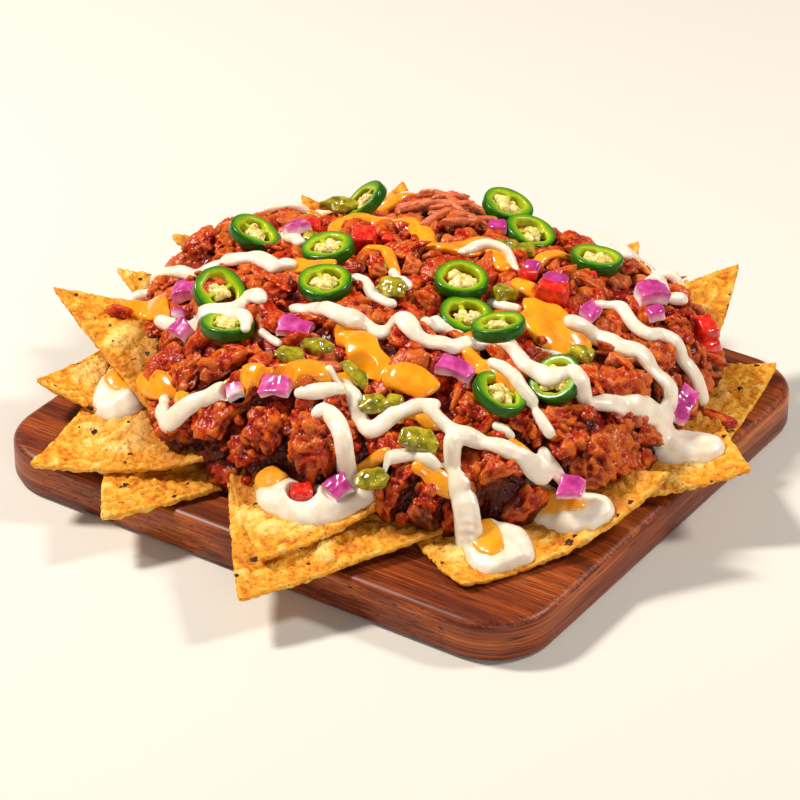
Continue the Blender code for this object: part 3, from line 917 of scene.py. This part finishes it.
# Details are the halvings of each lump's faces. Sizes are the limits of length, width and height
# in mm.
meat = {
    "core": {"voxel": 2.2, "smooth": 6, "depth": 5},
    "chunks": {"detail": 5},
    "pieces": {"detail": 4, "count": 150, "tries": 14000, "sizes": ((13, 25), (9, 17), (8, 14))},
    "shreds": {"detail": 4, "tuft": 26, "scattered": 40,
               "sizes": ((16, 32), (2.6, 4.6), (2.6, 4.2))},
    "strays": {"detail": 3},
    "crumbs": {"detail": 2, "count": 300, "sizes": ((3, 8), (2.5, 5.5), (2.5, 5))},
}

# Large chunks: x and y, length, width and height, turn and tilt in degrees, then how fibrous,
# from 0 to 1, and how pale, from -1 to 1
bigChunks = (
    (-125, -13, 24, 16, 14, 30, 20, 0.2, 0.5), (-104, -58, 24, 15, 10, 20, 0, 0.0, -0.5),
    (-80, -74, 20, 16, 14, 60, 10, 0.5, -0.3), (-63, -78, 24, 11, 10, 100, 20, 0.5, 0.4),
    (-44, -80, 22, 13, 11, 60, 20, 0.3, 0.0), (-54, -98, 26, 20, 16, 20, 0, 0.0, -0.5),
    (-36, -98, 28, 20, 18, 80, 10, 0.3, -0.2), (-8, -95, 30, 19, 20, 95, 30, 0.1, -0.4),
    (-24, -88, 20, 15, 14, 30, 0, 0.2, -0.2), (19, -93, 36, 22, 22, 80, 35, 0.0, 0.1),
    (8, -100, 26, 17, 16, 110, 20, 0.0, -0.6), (32, -92, 24, 14, 16, 70, 30, 0.3, -0.3),
    (20, -77, 18, 13, 10, 40, 10, 0.1, 0.1), (57, -89, 16, 13, 16, 80, 40, 0.0, -0.5),
    (71, -88, 18, 11, 12, 100, 30, 0.0, -0.8), (92, -67, 27, 19, 20, 80, 30, 0.1, 0.3),
    (68, -64, 22, 14, 12, 80, 10, 0.9, 0.1), (69, -50, 22, 15, 12, 20, 0, 0.2, 0.0),
    (92, -42, 22, 16, 13, 100, 10, 0.1, 0.0), (101, -32, 24, 18, 14, 45, 10, 0.2, 0.4),
    (120, -30, 32, 24, 20, 60, 20, 0.0, 0.5), (128, -14, 24, 17, 16, 100, 30, 0.2, -0.2),
    (112, 18, 30, 22, 16, 110, 10, 0.3, 0.3), (97, 4, 22, 17, 12, 30, 0, 0.2, 0.3),
    (101, 48, 30, 24, 18, 110, 20, 0.2, 0.4), (97, 74, 15, 14, 13, 0, 0, 0.0, -0.5),
    (104, 62, 20, 12, 12, 60, 10, 0.2, -0.4), (88, 36, 22, 16, 12, 0, 0, 0.1, -0.2),
    (-38, 82, 34, 12, 12, 70, 10, 1.0, 0.5), (-24, 84, 36, 12, 13, 100, 20, 1.0, 0.9),
    (-16, 70, 30, 13, 11, 60, 10, 1.0, 0.6), (33, 94, 24, 18, 15, 60, 20, 0.5, -0.2),
    (-116, 4, 20, 16, 13, 0, 0, 0.0, -0.1), (-104, 10, 18, 15, 14, 60, 0, 0.0, 0.1),
    (110, -41, 22, 15, 14, 60, 20, 0.1, -0.2), (-14, -102, 20, 13, 12, 40, 10, 0.0, -0.3),
    (-17, 26, 24, 16, 12, 30, 0, 0.7, 0.1), (-20, -24, 24, 18, 11, 50, 0, 0.3, 0.3),
)


# Pulled meat under a sticky glaze: deep red-brown, darker in the folds partly as painted shade, rust and
# orange on the edges, with painted shade near black in the gaps; wet, with fine bumps that each catch the
# light and fine pale dots painted in as highlights
def glazedMeat():
    flesh = newMaterial("glazedPulledMeat", Specular_IOR_Level=0.3, Subsurface_Weight=0.04,
                        Subsurface_Radius=(2.4, 0.6, 0.3), Subsurface_Scale=mm)
    place = ownPlace(flesh)
    crest, pale, deep = (keptValue(flesh, name) for name in ("crest", "pale", "deep"))
    patch, grain = addNoise(flesh, place, 5, 3), addNoise(flesh, place, 1.1, 3)
    # the tone runs from dark red in the hollows to orange on the crests: partly the browned edges, partly
    # painted shade in the hollows
    tone = addMath(flesh, "MULTIPLY_ADD", patch, 0.5, crest)
    tone = addMath(flesh, "MULTIPLY_ADD", grain, 0.35, tone)
    tone = addMath(flesh, "MULTIPLY_ADD", pale, 0.16, tone)
    rust = addRamp(flesh, addMath(flesh, "MULTIPLY", tone, 0.92), (0.22, "#240000"), (0.42, "#680300"),
                   (0.62, "#9C1201"), (0.82, "#B93405"), (1.00, "#CC6014"))
    sheen = addNode(flesh, "MapRange", {"Value": patch, "To Min": 0.2, "To Max": 0.42})
    bump = addBump(flesh, addNoise(flesh, place, 2.0, 1.5), 1.0, 0.6)
    drops = addNode(flesh, "TexVoronoi", {"Vector": place, "Scale": 1 / (1.9 * mm), "Smoothness": 0.4},
                    feature="SMOOTH_F1")
    domes = addNode(flesh, "Bump", {"Height": drops.outputs["Distance"], "Strength": 1.0,
                                    "Distance": 0.35 * mm, "Normal": bump}, invert=True)
    fatty = addMath(flesh, "MULTIPLY_ADD", pale, 1.6, -0.9, use_clamp=True)
    pink = addMix(flesh, addMath(flesh, "MULTIPLY", fatty, patch), rust, "#E08A6C")
    # painted highlights: fine pale dots mixed into the colour stand in for glints of light
    fine = addMath(flesh, "LESS_THAN", addCells(flesh, place, 2.1).outputs["Distance"], 0.17)
    dotted = addMix(flesh, addMath(flesh, "MULTIPLY", fine, 0.5), pink, "#F0A884")
    # painted shade: points lying deep below the meat round them are mixed towards near black
    shaded = addMix(flesh, deep, dotted, "#300300")
    addNode(flesh, "Shader", {"Base Color": shaded, "Roughness": sheen, "Normal": domes})
    return flesh


# Shapes one lump round the origin, in mm, and returns its points and how raised each one is
def lumpPoints(unit, size, fibrous, rng):
    seed = rng.uniform(0, 90)
    power = rng.uniform(2.3, 3.8)
    points = unit / (np.abs(unit) ** power).sum(1, keepdims=True) ** (1 / power)
    points = points * (np.array(size) / 2)
    for _ in range(4):                                      # torn and cut sides
        side = anyWay(rng)
        past = points @ side - rng.uniform(0.55, 0.8) * np.abs(points @ side).max()
        points -= np.outer(np.maximum(past, 0) * 0.8, side)
    points[:, 2] -= points[:, 0] ** 2 * rng.uniform(-0.012, 0.02)
    outward = points / np.linalg.norm(points, axis=1, keepdims=True)
    grainwise = points * (1 - fibrous * np.array([0.8, 0, 0]))
    sway = noiseAt(points, 9, seed + 8)
    warp = np.stack([noiseAt(points, 5, seed + 20 + axis) for axis in range(3)], axis=1) * 2.2
    lobes = np.abs(noiseAt(grainwise + warp, 6, seed))
    ridges = 1 - np.abs(noiseAt(grainwise + warp, 4.2, seed + 3)) * 2.2
    knobs = np.abs(noiseAt(grainwise, 2.1 if len(unit) > 900 else 3.4, seed + 6))
    strands = 1 - np.abs(noiseAt((points + warp * 1.4) * np.array([0.28, 1, 1]), 2.6, seed + 5)) * 2
    rise = lobes * 3.0 + (ridges * 1.9 + knobs * 1.2) * (1 - 0.7 * fibrous) + strands * 1.8 * fibrous
    limit = min(1.0, min(size) / 11)
    points = points + outward * ((rise - 2.0 + sway * 2.4) * limit)[:, None]
    crest = 0.1 + lobes * 0.7 + ridges * 0.3 * (1 - fibrous) + knobs * 0.4 + strands * 0.35 * fibrous
    return points, np.clip(crest, 0, 1)


def anySize(kind, rng):
    return [rng.uniform(*limits) for limits in meat[kind]["sizes"]]


# Adds a lump to a mesh being built, with its place and turn
def addLump(bm, detail, size, pose, fibrous, pale, rng):
    part = meatMesh()
    crestLayer, paleLayer = (part.verts.layers.float[name] for name in ("crest", "pale"))
    verts = bmesh.ops.create_icosphere(part, subdivisions=detail, radius=1)["verts"]
    unit = np.array([vert.co for vert in verts])
    points, crest = lumpPoints(unit, size, fibrous, rng)
    placed = points @ np.array(pose.to_3x3()).T + np.array(pose.translation)
    for vert, point, raised in zip(verts, placed.tolist(), crest.tolist()):
        vert.co = point
        vert[crestLayer] = raised
        vert[paleLayer] = pale
    joinInto(bm, part)


def meatMesh():
    bm = bmesh.new()
    for name in ("crest", "pale"):
        bm.verts.layers.float.new(name)
    return bm


def lyingOn(spot, normal, lift, turn, tilt):
    return (Matrix.Translation(Vector(spot) + Vector(normal) * lift) @ turnTo(normal)
            @ Matrix.Rotation(math.radians(turn), 4, "Z") @ Matrix.Rotation(math.radians(tilt), 4, "Y"))


heapTree = treeOf([frame["nodes"]["heap"].data])


# The place in mm that a line meets, and the way it faces, turned a share of the way to upright
def facing(hit, share):
    spot, normal = hit[:2]
    if spot is None:
        return None, None
    return spot / mm, normal.lerp(straightUp, share).normalized()


# Where a plumb line over a plan point meets the CAD heap, and the way the surface faces
def heapSpot(x, y):
    return facing(plumb(heapTree, x, y), 0.25)


# A place on the heap and the way it faces: from above, or for its sides from all round
def anySpot(rng):
    if rng.random() < 0.6:
        return heapSpot(rng.uniform(-145, 135), rng.uniform(-112, 134))
    angle, height = rng.uniform(0, math.tau), rng.uniform(28, 60)
    away = Vector((math.cos(angle), math.sin(angle), 0))
    aim = Vector((rng.uniform(-60, 60), rng.uniform(-40, 50), height))
    return facing(heapTree.ray_cast((aim + away * 250) * mm, -away), 0.15)


# The place of a large chunk, clear of the pools
def chunkSpot(x, y, length, width):
    return heapSpot(*keptClear(x, y, min(width, length) * 0.32))


sauceOver = (4, 6, 13, 14)               # numbers of the slices that sauce covers
pressReach = 14                          # in mm, beyond which points stay where they are


# Presses points down to just under the toppings that lie on them
def pressUnder(points, covered=()):
    half = jalapenos["thickness"] / 2
    for number, (*place, lean, toward, _) in enumerate(jalapenos["places"], 1):
        if number in covered:
            continue
        pose = stance(place, lean, toward)
        inward = np.array(pose.inverted())
        local = points @ inward[:3, :3].T + inward[:3, 3]
        across = np.hypot(local[:, 0], local[:, 1])
        share = 1 - smoothStep(across, jalapenos["radius"] - 0.2, jalapenos["radius"] + 1.6)
        high = np.maximum(local[:, 2] + half + 0.1, 0)
        high[local[:, 2] > pressReach] = 0
        points -= np.outer(high * share, np.array(pose.to_3x3())[:, 2])
    for name in frame["nodes"]:
        if name in diceNames:
            low, high = (np.array(corner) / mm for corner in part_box(name))
            middle, reach = (low + high) / 2, (high - low).max() / 2
            away = np.hypot(*(points - middle)[:, :2].T)
            share = 1 - smoothStep(away, reach * 0.65, reach * 1.15)
            over = np.clip(points[:, 2] - (middle[2] - 0.28 * (high - low)[2]), 0, None)
            over[over > pressReach] = 0
            points[:, 2] -= over * share
    return points


# Sinks meat below the chips where a pool of cream lies on them
def clearPools(points):
    share = smoothStep(onGrid(poolDepth, points), -2.5, 0)
    over = np.maximum(points[:, 2] - (onGrid(poolBase, points) - 1.6), 0)
    points[:, 2] -= over * share
    return points


def finishMeat(name, bm, material, nodes=()):
    moveVerts(bm.verts, Matrix.Scale(mm, 4))
    piece = addPiece(name, bm, [material], nodes)
    movePoints(piece.data, pressUnder(pointsOf(piece.data)))
    return piece


# A dark inner body a little under the heap's surface, so that no gap shows through; it is darkened as
# painted shade for the gaps
def makeCore(material):
    core = softened(mergedCopy("heapCopy", "heap"), meat["core"]["voxel"], meat["core"]["smooth"], 0.6)
    points = pointsOf(core)
    normals = np.empty(len(points) * 3)
    core.vertices.foreach_get("normal", normals)
    rough = np.abs(noiseAt(points, 8)) * 4 + np.abs(noiseAt(points, 3.6)) * 1.6
    points += normals.reshape(-1, 3) * (rough - meat["core"]["depth"])[:, None]
    points[:, 2] = np.maximum(points[:, 2], boardTop + 1)
    movePoints(core, pressUnder(clearPools(points)))
    # painted shade: the core's low crest and pale values darken it like shaded gaps
    keepValues(core, "crest", np.clip(rough / 5, 0, 1) * 0.6 + 0.1)
    keepValues(core, "pale", np.full(len(points), -0.3))
    return addPiece("meatCore", core, [material], ["heap"])


def makeBigChunks(material):
    bm = meatMesh()
    rng = random.Random(5)
    for x, y, length, width, height, turn, tilt, fibrous, pale in bigChunks:
        pose = lyingOn(*chunkSpot(x, y, length, width), 2.4 - height * 0.5, turn, tilt)
        addLump(bm, meat["chunks"]["detail"], (length, width, height), pose, fibrous, pale, rng)
    return finishMeat("meatChunks", bm, material)


# Whether a place is too low, over a pool or under a chip
def crowded(spot, room):
    if spot is None:
        return True
    x, y, z = spot
    lowest = 46 if x < -90 and -10 < y < 60 else 27
    return z < lowest or keptClear(x, y, room) != (x, y)


# Smaller pieces fill the rest, each clear of the ones before it: plump ones, then torn ones
def makeSmallPieces(material):
    rng = random.Random(11)
    taken = [(chunkSpot(*chunk[:4])[0], (chunk[2] + chunk[3]) / 5) for chunk in bigChunks]
    made = []
    for name, grains in (("meatPieces", (0, 0.1, 0.2)), ("tornMeat", (0.4, 0.6, 0.9))):
        bm = meatMesh()
        count, tries = 0, 0
        while count < meat["pieces"]["count"] and tries < meat["pieces"]["tries"]:
            tries += 1
            size = anySize("pieces", rng)
            reach = (size[0] + size[1]) / 6.8
            spot, normal = anySpot(rng)
            if crowded(spot, reach * 0.3):
                continue
            if any((spot - other).length < reach + room for other, room in taken):
                continue
            taken.append((spot, reach))
            pose = lyingOn(spot, normal, 1.0 - size[2] * 0.5 + rng.uniform(-2, 1.5),
                           rng.uniform(0, 360), rng.uniform(-20, 20))
            addLump(bm, meat["pieces"]["detail"], size, pose, rng.choice(grains),
                    rng.uniform(-0.9, 0.9), rng)
            count += 1
        report(f"{count} of {name}")
        made.append(finishMeat(name, bm, material))
    return made


# Long torn fibres: a tuft at the back of the top, the rest scattered
def makeShreds(material):
    rng = random.Random(37)
    bm = meatMesh()
    for index in range(meat["shreds"]["tuft"] + meat["shreds"]["scattered"]):
        tuft = index < meat["shreds"]["tuft"]
        x, y = ((rng.gauss(-26, 9), rng.gauss(75, 9)) if tuft else
                (rng.uniform(-120, 120), rng.uniform(-90, 110)))
        spot, normal = heapSpot(x, y)
        if spot is None or spot.z < 45 or keptClear(x, y, 3) != (x, y):
            continue
        turn = rng.gauss(40, 35) if tuft else rng.uniform(0, 360)
        size = anySize("shreds", rng)
        pose = lyingOn(spot, normal, rng.uniform(0, 5) if tuft else rng.uniform(-1, 1.5), turn,
                       rng.uniform(-12, 12))
        pale = rng.uniform(0.9, 1.4) if tuft else rng.uniform(-0.8, 0.8)
        addLump(bm, meat["shreds"]["detail"], size, pose, 1, pale, rng)
    return finishMeat("meatShreds", bm, material)


# Bits of meat on bare chips: a plan point, three sizes in mm and a turn in degrees
strays = ((-125, -49, 11, 8, 6, 20), (130, 54, 22, 7, 6, 35))


# Crumbs and short shreds lie in the gaps and on the edges
def makeCrumbs(material):
    rng = random.Random(23)
    bm = meatMesh()
    chipTree = pieceTree(chipPieces)
    for x, y, *size, turn in strays:
        spot, normal = plumb(chipTree, x, y)[:2]
        pose = lyingOn(spot / mm, normal, size[2] * 0.25, turn, 0)
        addLump(bm, meat["strays"]["detail"], size, pose, 0.6, -0.5, rng)
    for _ in range(meat["crumbs"]["count"]):
        spot, normal = anySpot(rng)
        if crowded(spot, 1):
            continue
        size = sorted(anySize("crumbs", rng), reverse=True)
        pose = lyingOn(spot, normal, rng.uniform(-2.5, 0.5), rng.uniform(0, 360), rng.uniform(-40, 40))
        addLump(bm, meat["crumbs"]["detail"], size, pose, 0, rng.uniform(-0.9, 0.5), rng)
    return finishMeat("meatCrumbs", bm, material)


# Marks how far each point lies below the meat round it; the meat's material paints shade into the gaps
# from it
def keepDeep(pieces):
    around = blurred(spreadHighest(dropOnto(pieceTree(pieces)), 2.4), 2.4)
    slopeY, slopeX = np.gradient(around, sauces["grid"])
    steep = np.sqrt(1 + slopeX ** 2 + slopeY ** 2)
    for piece in pieces:
        points = pointsOf(piece.data)
        under = (onGrid(around, points) - points[:, 2]) / onGrid(steep, points)
        keepValues(piece.data, "deep", smoothStep(under, 1, 7) * 0.85)


def makeMeat():
    flesh = glazedMeat()
    made = [makeCore(flesh), makeBigChunks(flesh), *makeSmallPieces(flesh), makeShreds(flesh),
            makeCrumbs(flesh)]
    keepDeep(made)
    return made


meatPieces = makeMeat()
report("meat")


# ---- further small toppings

# Middles, sizes in mm and turns in degrees
bits = {
    "onion": ((1, 75, 79, 8, 30), (48, -67, 70, 7, 70), (38, 45, 83, 7, 10), (55, 37, 85, 11, 20),
              (94, 60, 70, 8, 50), (-88, -52, 66, 6, 15), (14, -22, 83, 5, 40),
              (-66, 92, 58, 9, 20), (-10, 112, 60, 10, 50), (34, 116, 56, 8, 10), (-100, 58, 54, 9, 70)),
    "tomato": ((-70, 27, 80, 8, 20), (40, 39, 83, 8, 60), (-113, 30, 62, 6, 15), (60, 60, 78, 6, 45),
               (-30, 30, 84, 5, 10), (106, 80, 47, 18, 60),
               (-88, 78, 55, 10, 35), (12, 122, 54, 9, 15), (58, 110, 56, 8, 50)),
    "pickle": ((40, -69, 70, 8, 15), (39, 20, 82, 10, 65), (24, 62, 80, 9, 30), (-63, 17, 80, 8, 5),
               (-20, 8, 83, 8, 30), (87, 12, 70, 7, 10), (-30, 112, 58, 10, 60),
               (70, 96, 60, 9, 25)),
}


def makeBits(kind):
    rng = random.Random(len(kind))
    bm = bmesh.new()
    depth = bm.verts.layers.float.new("depth")
    for x, y, z, size, turn in bits[kind]:
        cube = addGridCube(bm, 9)
        flat = rng.uniform(0.5, 0.8)
        lean = Matrix.Rotation(rng.uniform(-0.5, 0.5), 4, "X")
        pose = (Matrix.Scale(mm, 4) @ Matrix.Translation((x, y, z)) @ lean
                @ Matrix.Rotation(math.radians(turn), 4, "Z"))
        for vert in cube:
            unit = vert.co * 2
            unit /= sum(abs(value) ** 5 for value in unit) ** (1 / 5)
            vert[depth] = 0.5 - unit.z * 0.5
            vert.co = Vector((unit.x, unit.y * 0.8, unit.z * flat)) * size / 2
            vert.co *= 1 + 0.22 * noise.noise(vert.co / 5 + Vector((x, y, z)))
            vert.co.z -= vert.co.x ** 2 * 0.03
            vert.co = pose @ vert.co
    addPiece(f"{dice[kind]['title']}Bits", bm, [dice[kind]["material"]])


for bitKind in bits:
    makeBits(bitKind)
report("small toppings")


# ---- sauces

# A closed sheet of sauce over a base surface, its edges sunk in the food
def addSheet(bm, base, depth, sunk):
    rowCount, columnCount = base.shape
    place = bm.verts.layers.int.new("place")
    bmesh.ops.create_grid(bm, x_segments=columnCount - 1, y_segments=rowCount - 1, size=1)
    for vert in bm.verts:
        column = round((vert.co.x + 1) / 2 * (columnCount - 1))
        row = round((vert.co.y + 1) / 2 * (rowCount - 1))
        vert[place] = row * columnCount + column
    low = depth.ravel() < -sunk
    bmesh.ops.delete(bm, geom=[vert for vert in bm.verts if low[vert[place]]], context="VERTS")
    loose = [vert for vert in bm.verts if not vert.link_faces]
    bmesh.ops.delete(bm, geom=loose, context="VERTS")
    lower = bmesh.ops.extrude_face_region(bm, geom=bm.faces, use_keep_orig=True)["geom"]
    lower = {item for item in lower if isinstance(item, bmesh.types.BMVert)}
    across, along, base, depth = (grid.ravel() for grid in (gridX, gridY, base, depth))
    for vert in bm.verts:
        at = vert[place]
        rise = -sunk - sauces["under"] if vert in lower else depth[at]
        vert.co = Vector((across[at], along[at], base[at] + rise)) * mm


def evened(values, reach, highest=False):
    ends = [(reach, reach)] + [(0, 0)] * (values.ndim - 1)
    windows = np.stack([np.pad(values, ends, "edge")[at:at + len(values)] for at in range(2 * reach + 1)])
    return windows.max(0) if highest else windows.mean(0)


def firstHit(trees, start, direction):
    hits = [tree.ray_cast(start, direction) for tree in trees]
    return min((hit for hit in hits if hit[0] is not None), key=lambda hit: hit[3], default=None)


# A strand of sauce: overlapping flattened balls that follow the food along its slope
def addStrand(bm, stroke, thick, ground, food, number):
    line = smoothLine(stroke, 0.7)
    hits = [firstHit(ground, Vector((*place.xy, plumbFrom)) * mm, straightDown) for place in line]
    kept = [(place.z, *hit[:2]) for place, hit in zip(line, hits) if hit]
    spots = evened(np.array([spot / mm for _, spot, _ in kept]), 3)
    normals = evened(np.array([normal for *_, normal in kept]), 8)
    normals /= np.linalg.norm(normals, axis=1, keepdims=True)
    above, (lowest, highest) = sauces["above"], sauces["follow"]
    heights = []
    for spot, normal in zip(spots, normals):
        hit = firstHit(food, Vector(spot + above * normal) * mm, Vector(-normal))
        heights.append(min(max(above - hit[3] / mm, lowest), highest) if hit else 0)
    heights = evened(evened(np.array(heights), 2, True), 4)
    part = bmesh.new()
    for (wide, *_), spot, normal, height in zip(kept, spots, normals, heights):
        sway = noise.noise(Vector((*spot[:2], 9 * number)) / 9)
        wide *= 1 + 0.35 * sway
        high = thick * min(1, wide / 3.6) * (1 + 0.3 * noise.noise(Vector((*spot[:2], 50)) / 7))
        place = Matrix.Translation(Vector(spot + normal * (height + 0.25 * high)) * mm)
        flat = Matrix.Diagonal((wide, wide, high, 1))
        bmesh.ops.create_icosphere(part, subdivisions=2, radius=mm,
                                   matrix=place @ turnTo(Vector(normal)) @ flat)
    joinInto(bm, part)


def settled(name, bm):
    return softened(meshFrom(name, bm), sauces["voxel"], sauces["smooth"], 0.6)


# Thick cream: soft white, satin, with light passing a little way in
def sourCream():
    return wetFood("sourCream", (3.0, 1.8, 0.9), (6, 2), ((0.3, "#EADCC6"), (0.6, "#F5EBDC")),
                   (0.15, 0.6), near="#F7C973", Roughness=0.3, Coat_Weight=0.15,
                   Coat_Roughness=0.2, Subsurface_Weight=0.5)


# Melted cheese sauce: smooth, glossy, deep yellow with light passing through thin edges
def cheeseSauce():
    return wetFood("cheeseSauce", (2.6, 1.2, 0.2), (7, 2), ((0.3, "#F08E06"), (0.65, "#FCAA1A")),
                   (0.25, 0.8), near="#FAC463", Roughness=0.22, Coat_Weight=0.5,
                   Coat_Roughness=0.08, Subsurface_Weight=0.35)


def nearTo(mesh, other, reach):
    return 1 - smoothStep(distanceTo(treeOf([other]), pointsOf(mesh)), 0, reach)


def makeSauces():
    chipTree = pieceTree(chipPieces)
    sliceTree = pieceTree([slicePieces[number - 1] for number in sauceOver])
    ground, food = [heapTree, chipTree], [pieceTree(meatPieces), chipTree, sliceTree]
    cheese = bmesh.new()
    for number, stroke in enumerate(cheeseRibbons):
        addStrand(cheese, stroke, sauces["cheeseThick"], ground, food, number)
    cheeseBody = settled("cheeseBody", cheese)
    report("cheese ribbons")
    cream = bmesh.new()
    addSheet(cream, blurred(poolBase, 0.8), blurred(poolDepth, 0.7), 1.2)
    food.append(treeOf([cheeseBody]))
    for number, stroke in enumerate(creamStrands):
        addStrand(cream, stroke, sauces["creamThick"], ground, food, number)
    creamBody = settled("creamBody", cream)
    report("cream strands")
    yolks = bmesh.new()
    yolkDepth = sauceDepth(cheeseYolks, sauces["yolkDeep"])
    yolkDepth[poolDepth < -1] = sauces["none"]
    addSheet(yolks, blurred(poolBase + np.clip(poolDepth, 0, None), 1.2), yolkDepth, 1.0)
    both = bmesh.new()
    both.from_mesh(cheeseBody)
    both.from_mesh(settled("yolks", yolks))
    both.to_mesh(cheeseBody)
    both.free()
    for body in (creamBody, cheeseBody):
        movePoints(body, pressUnder(pointsOf(body), sauceOver))
    keepValues(creamBody, "near", nearTo(creamBody, cheeseBody, 2.2) * 0.45)
    keepValues(cheeseBody, "near", nearTo(cheeseBody, creamBody, 1.6) * 0.35)
    addPiece("creamDrizzle", creamBody, [sourCream()])
    addPiece("cheeseDrizzle", cheeseBody, [cheeseSauce()])


makeSauces()
report("sauces")


# ---- floor, light and camera

def addStage():
    bm = bmesh.new()
    bmesh.ops.create_grid(bm, x_segments=1, y_segments=1, size=3)
    floor = meshFrom("floor", bm)
    floor.materials.append(newMaterial("palePaper", Base_Color=linearColour("#DCDAD5"), Roughness=0.8))
    newObject("floor", floor)


# Puts a lamp or the camera at a place in metres and points it along a direction
def standAt(name, data, place, ahead):
    holder = newObject(name, data)
    holder.location = place
    holder.rotation_euler = ahead.to_track_quat("-Z", "Y").to_euler()
    return holder


lampAim = Vector((0, 0, 0.04))


def addLamp(name, place, size, power, tint):
    lamp = bpy.data.lights.new(name, "AREA")
    lamp.shape = "DISK"
    lamp.size = size
    lamp.energy = power
    lamp.color = linearColour(tint)[:3]
    standAt(name, lamp, place, lampAim - Vector(place))


def addCamera():
    azimuth, elevation, distance = math.radians(33.75), math.radians(31.25), 1.6
    aim = Vector((0.004, -0.0107, 0.030))
    back = Vector((math.sin(azimuth) * math.cos(elevation), -math.cos(azimuth) * math.cos(elevation),
                   math.sin(elevation)))
    lens = bpy.data.cameras.new("camera")
    lens.lens = 159.8
    lens.sensor_width = 36
    bpy.context.scene.camera = standAt("camera", lens, aim + back * distance, -back)


addStage()
addLamp("key", (-1.0, -0.35, 1.35), 0.3, 34, "#FFF4E6")
addLamp("fill", (1.3, -1.2, 0.8), 0.7, 8, "#FFF6EA")
addLamp("back", (0.9, 0.7, 1.2), 0.3, 15, "#FFF8EE")
world = bpy.data.worlds.new("room")
world.use_nodes = True
world.node_tree.nodes["Background"].inputs["Color"].default_value = linearColour("#FFFDF8")
world.node_tree.nodes["Background"].inputs["Strength"].default_value = 0.15
bpy.context.scene.world = world
bpy.context.scene.view_settings.view_transform = "Standard"
addCamera()

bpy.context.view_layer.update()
report("done")
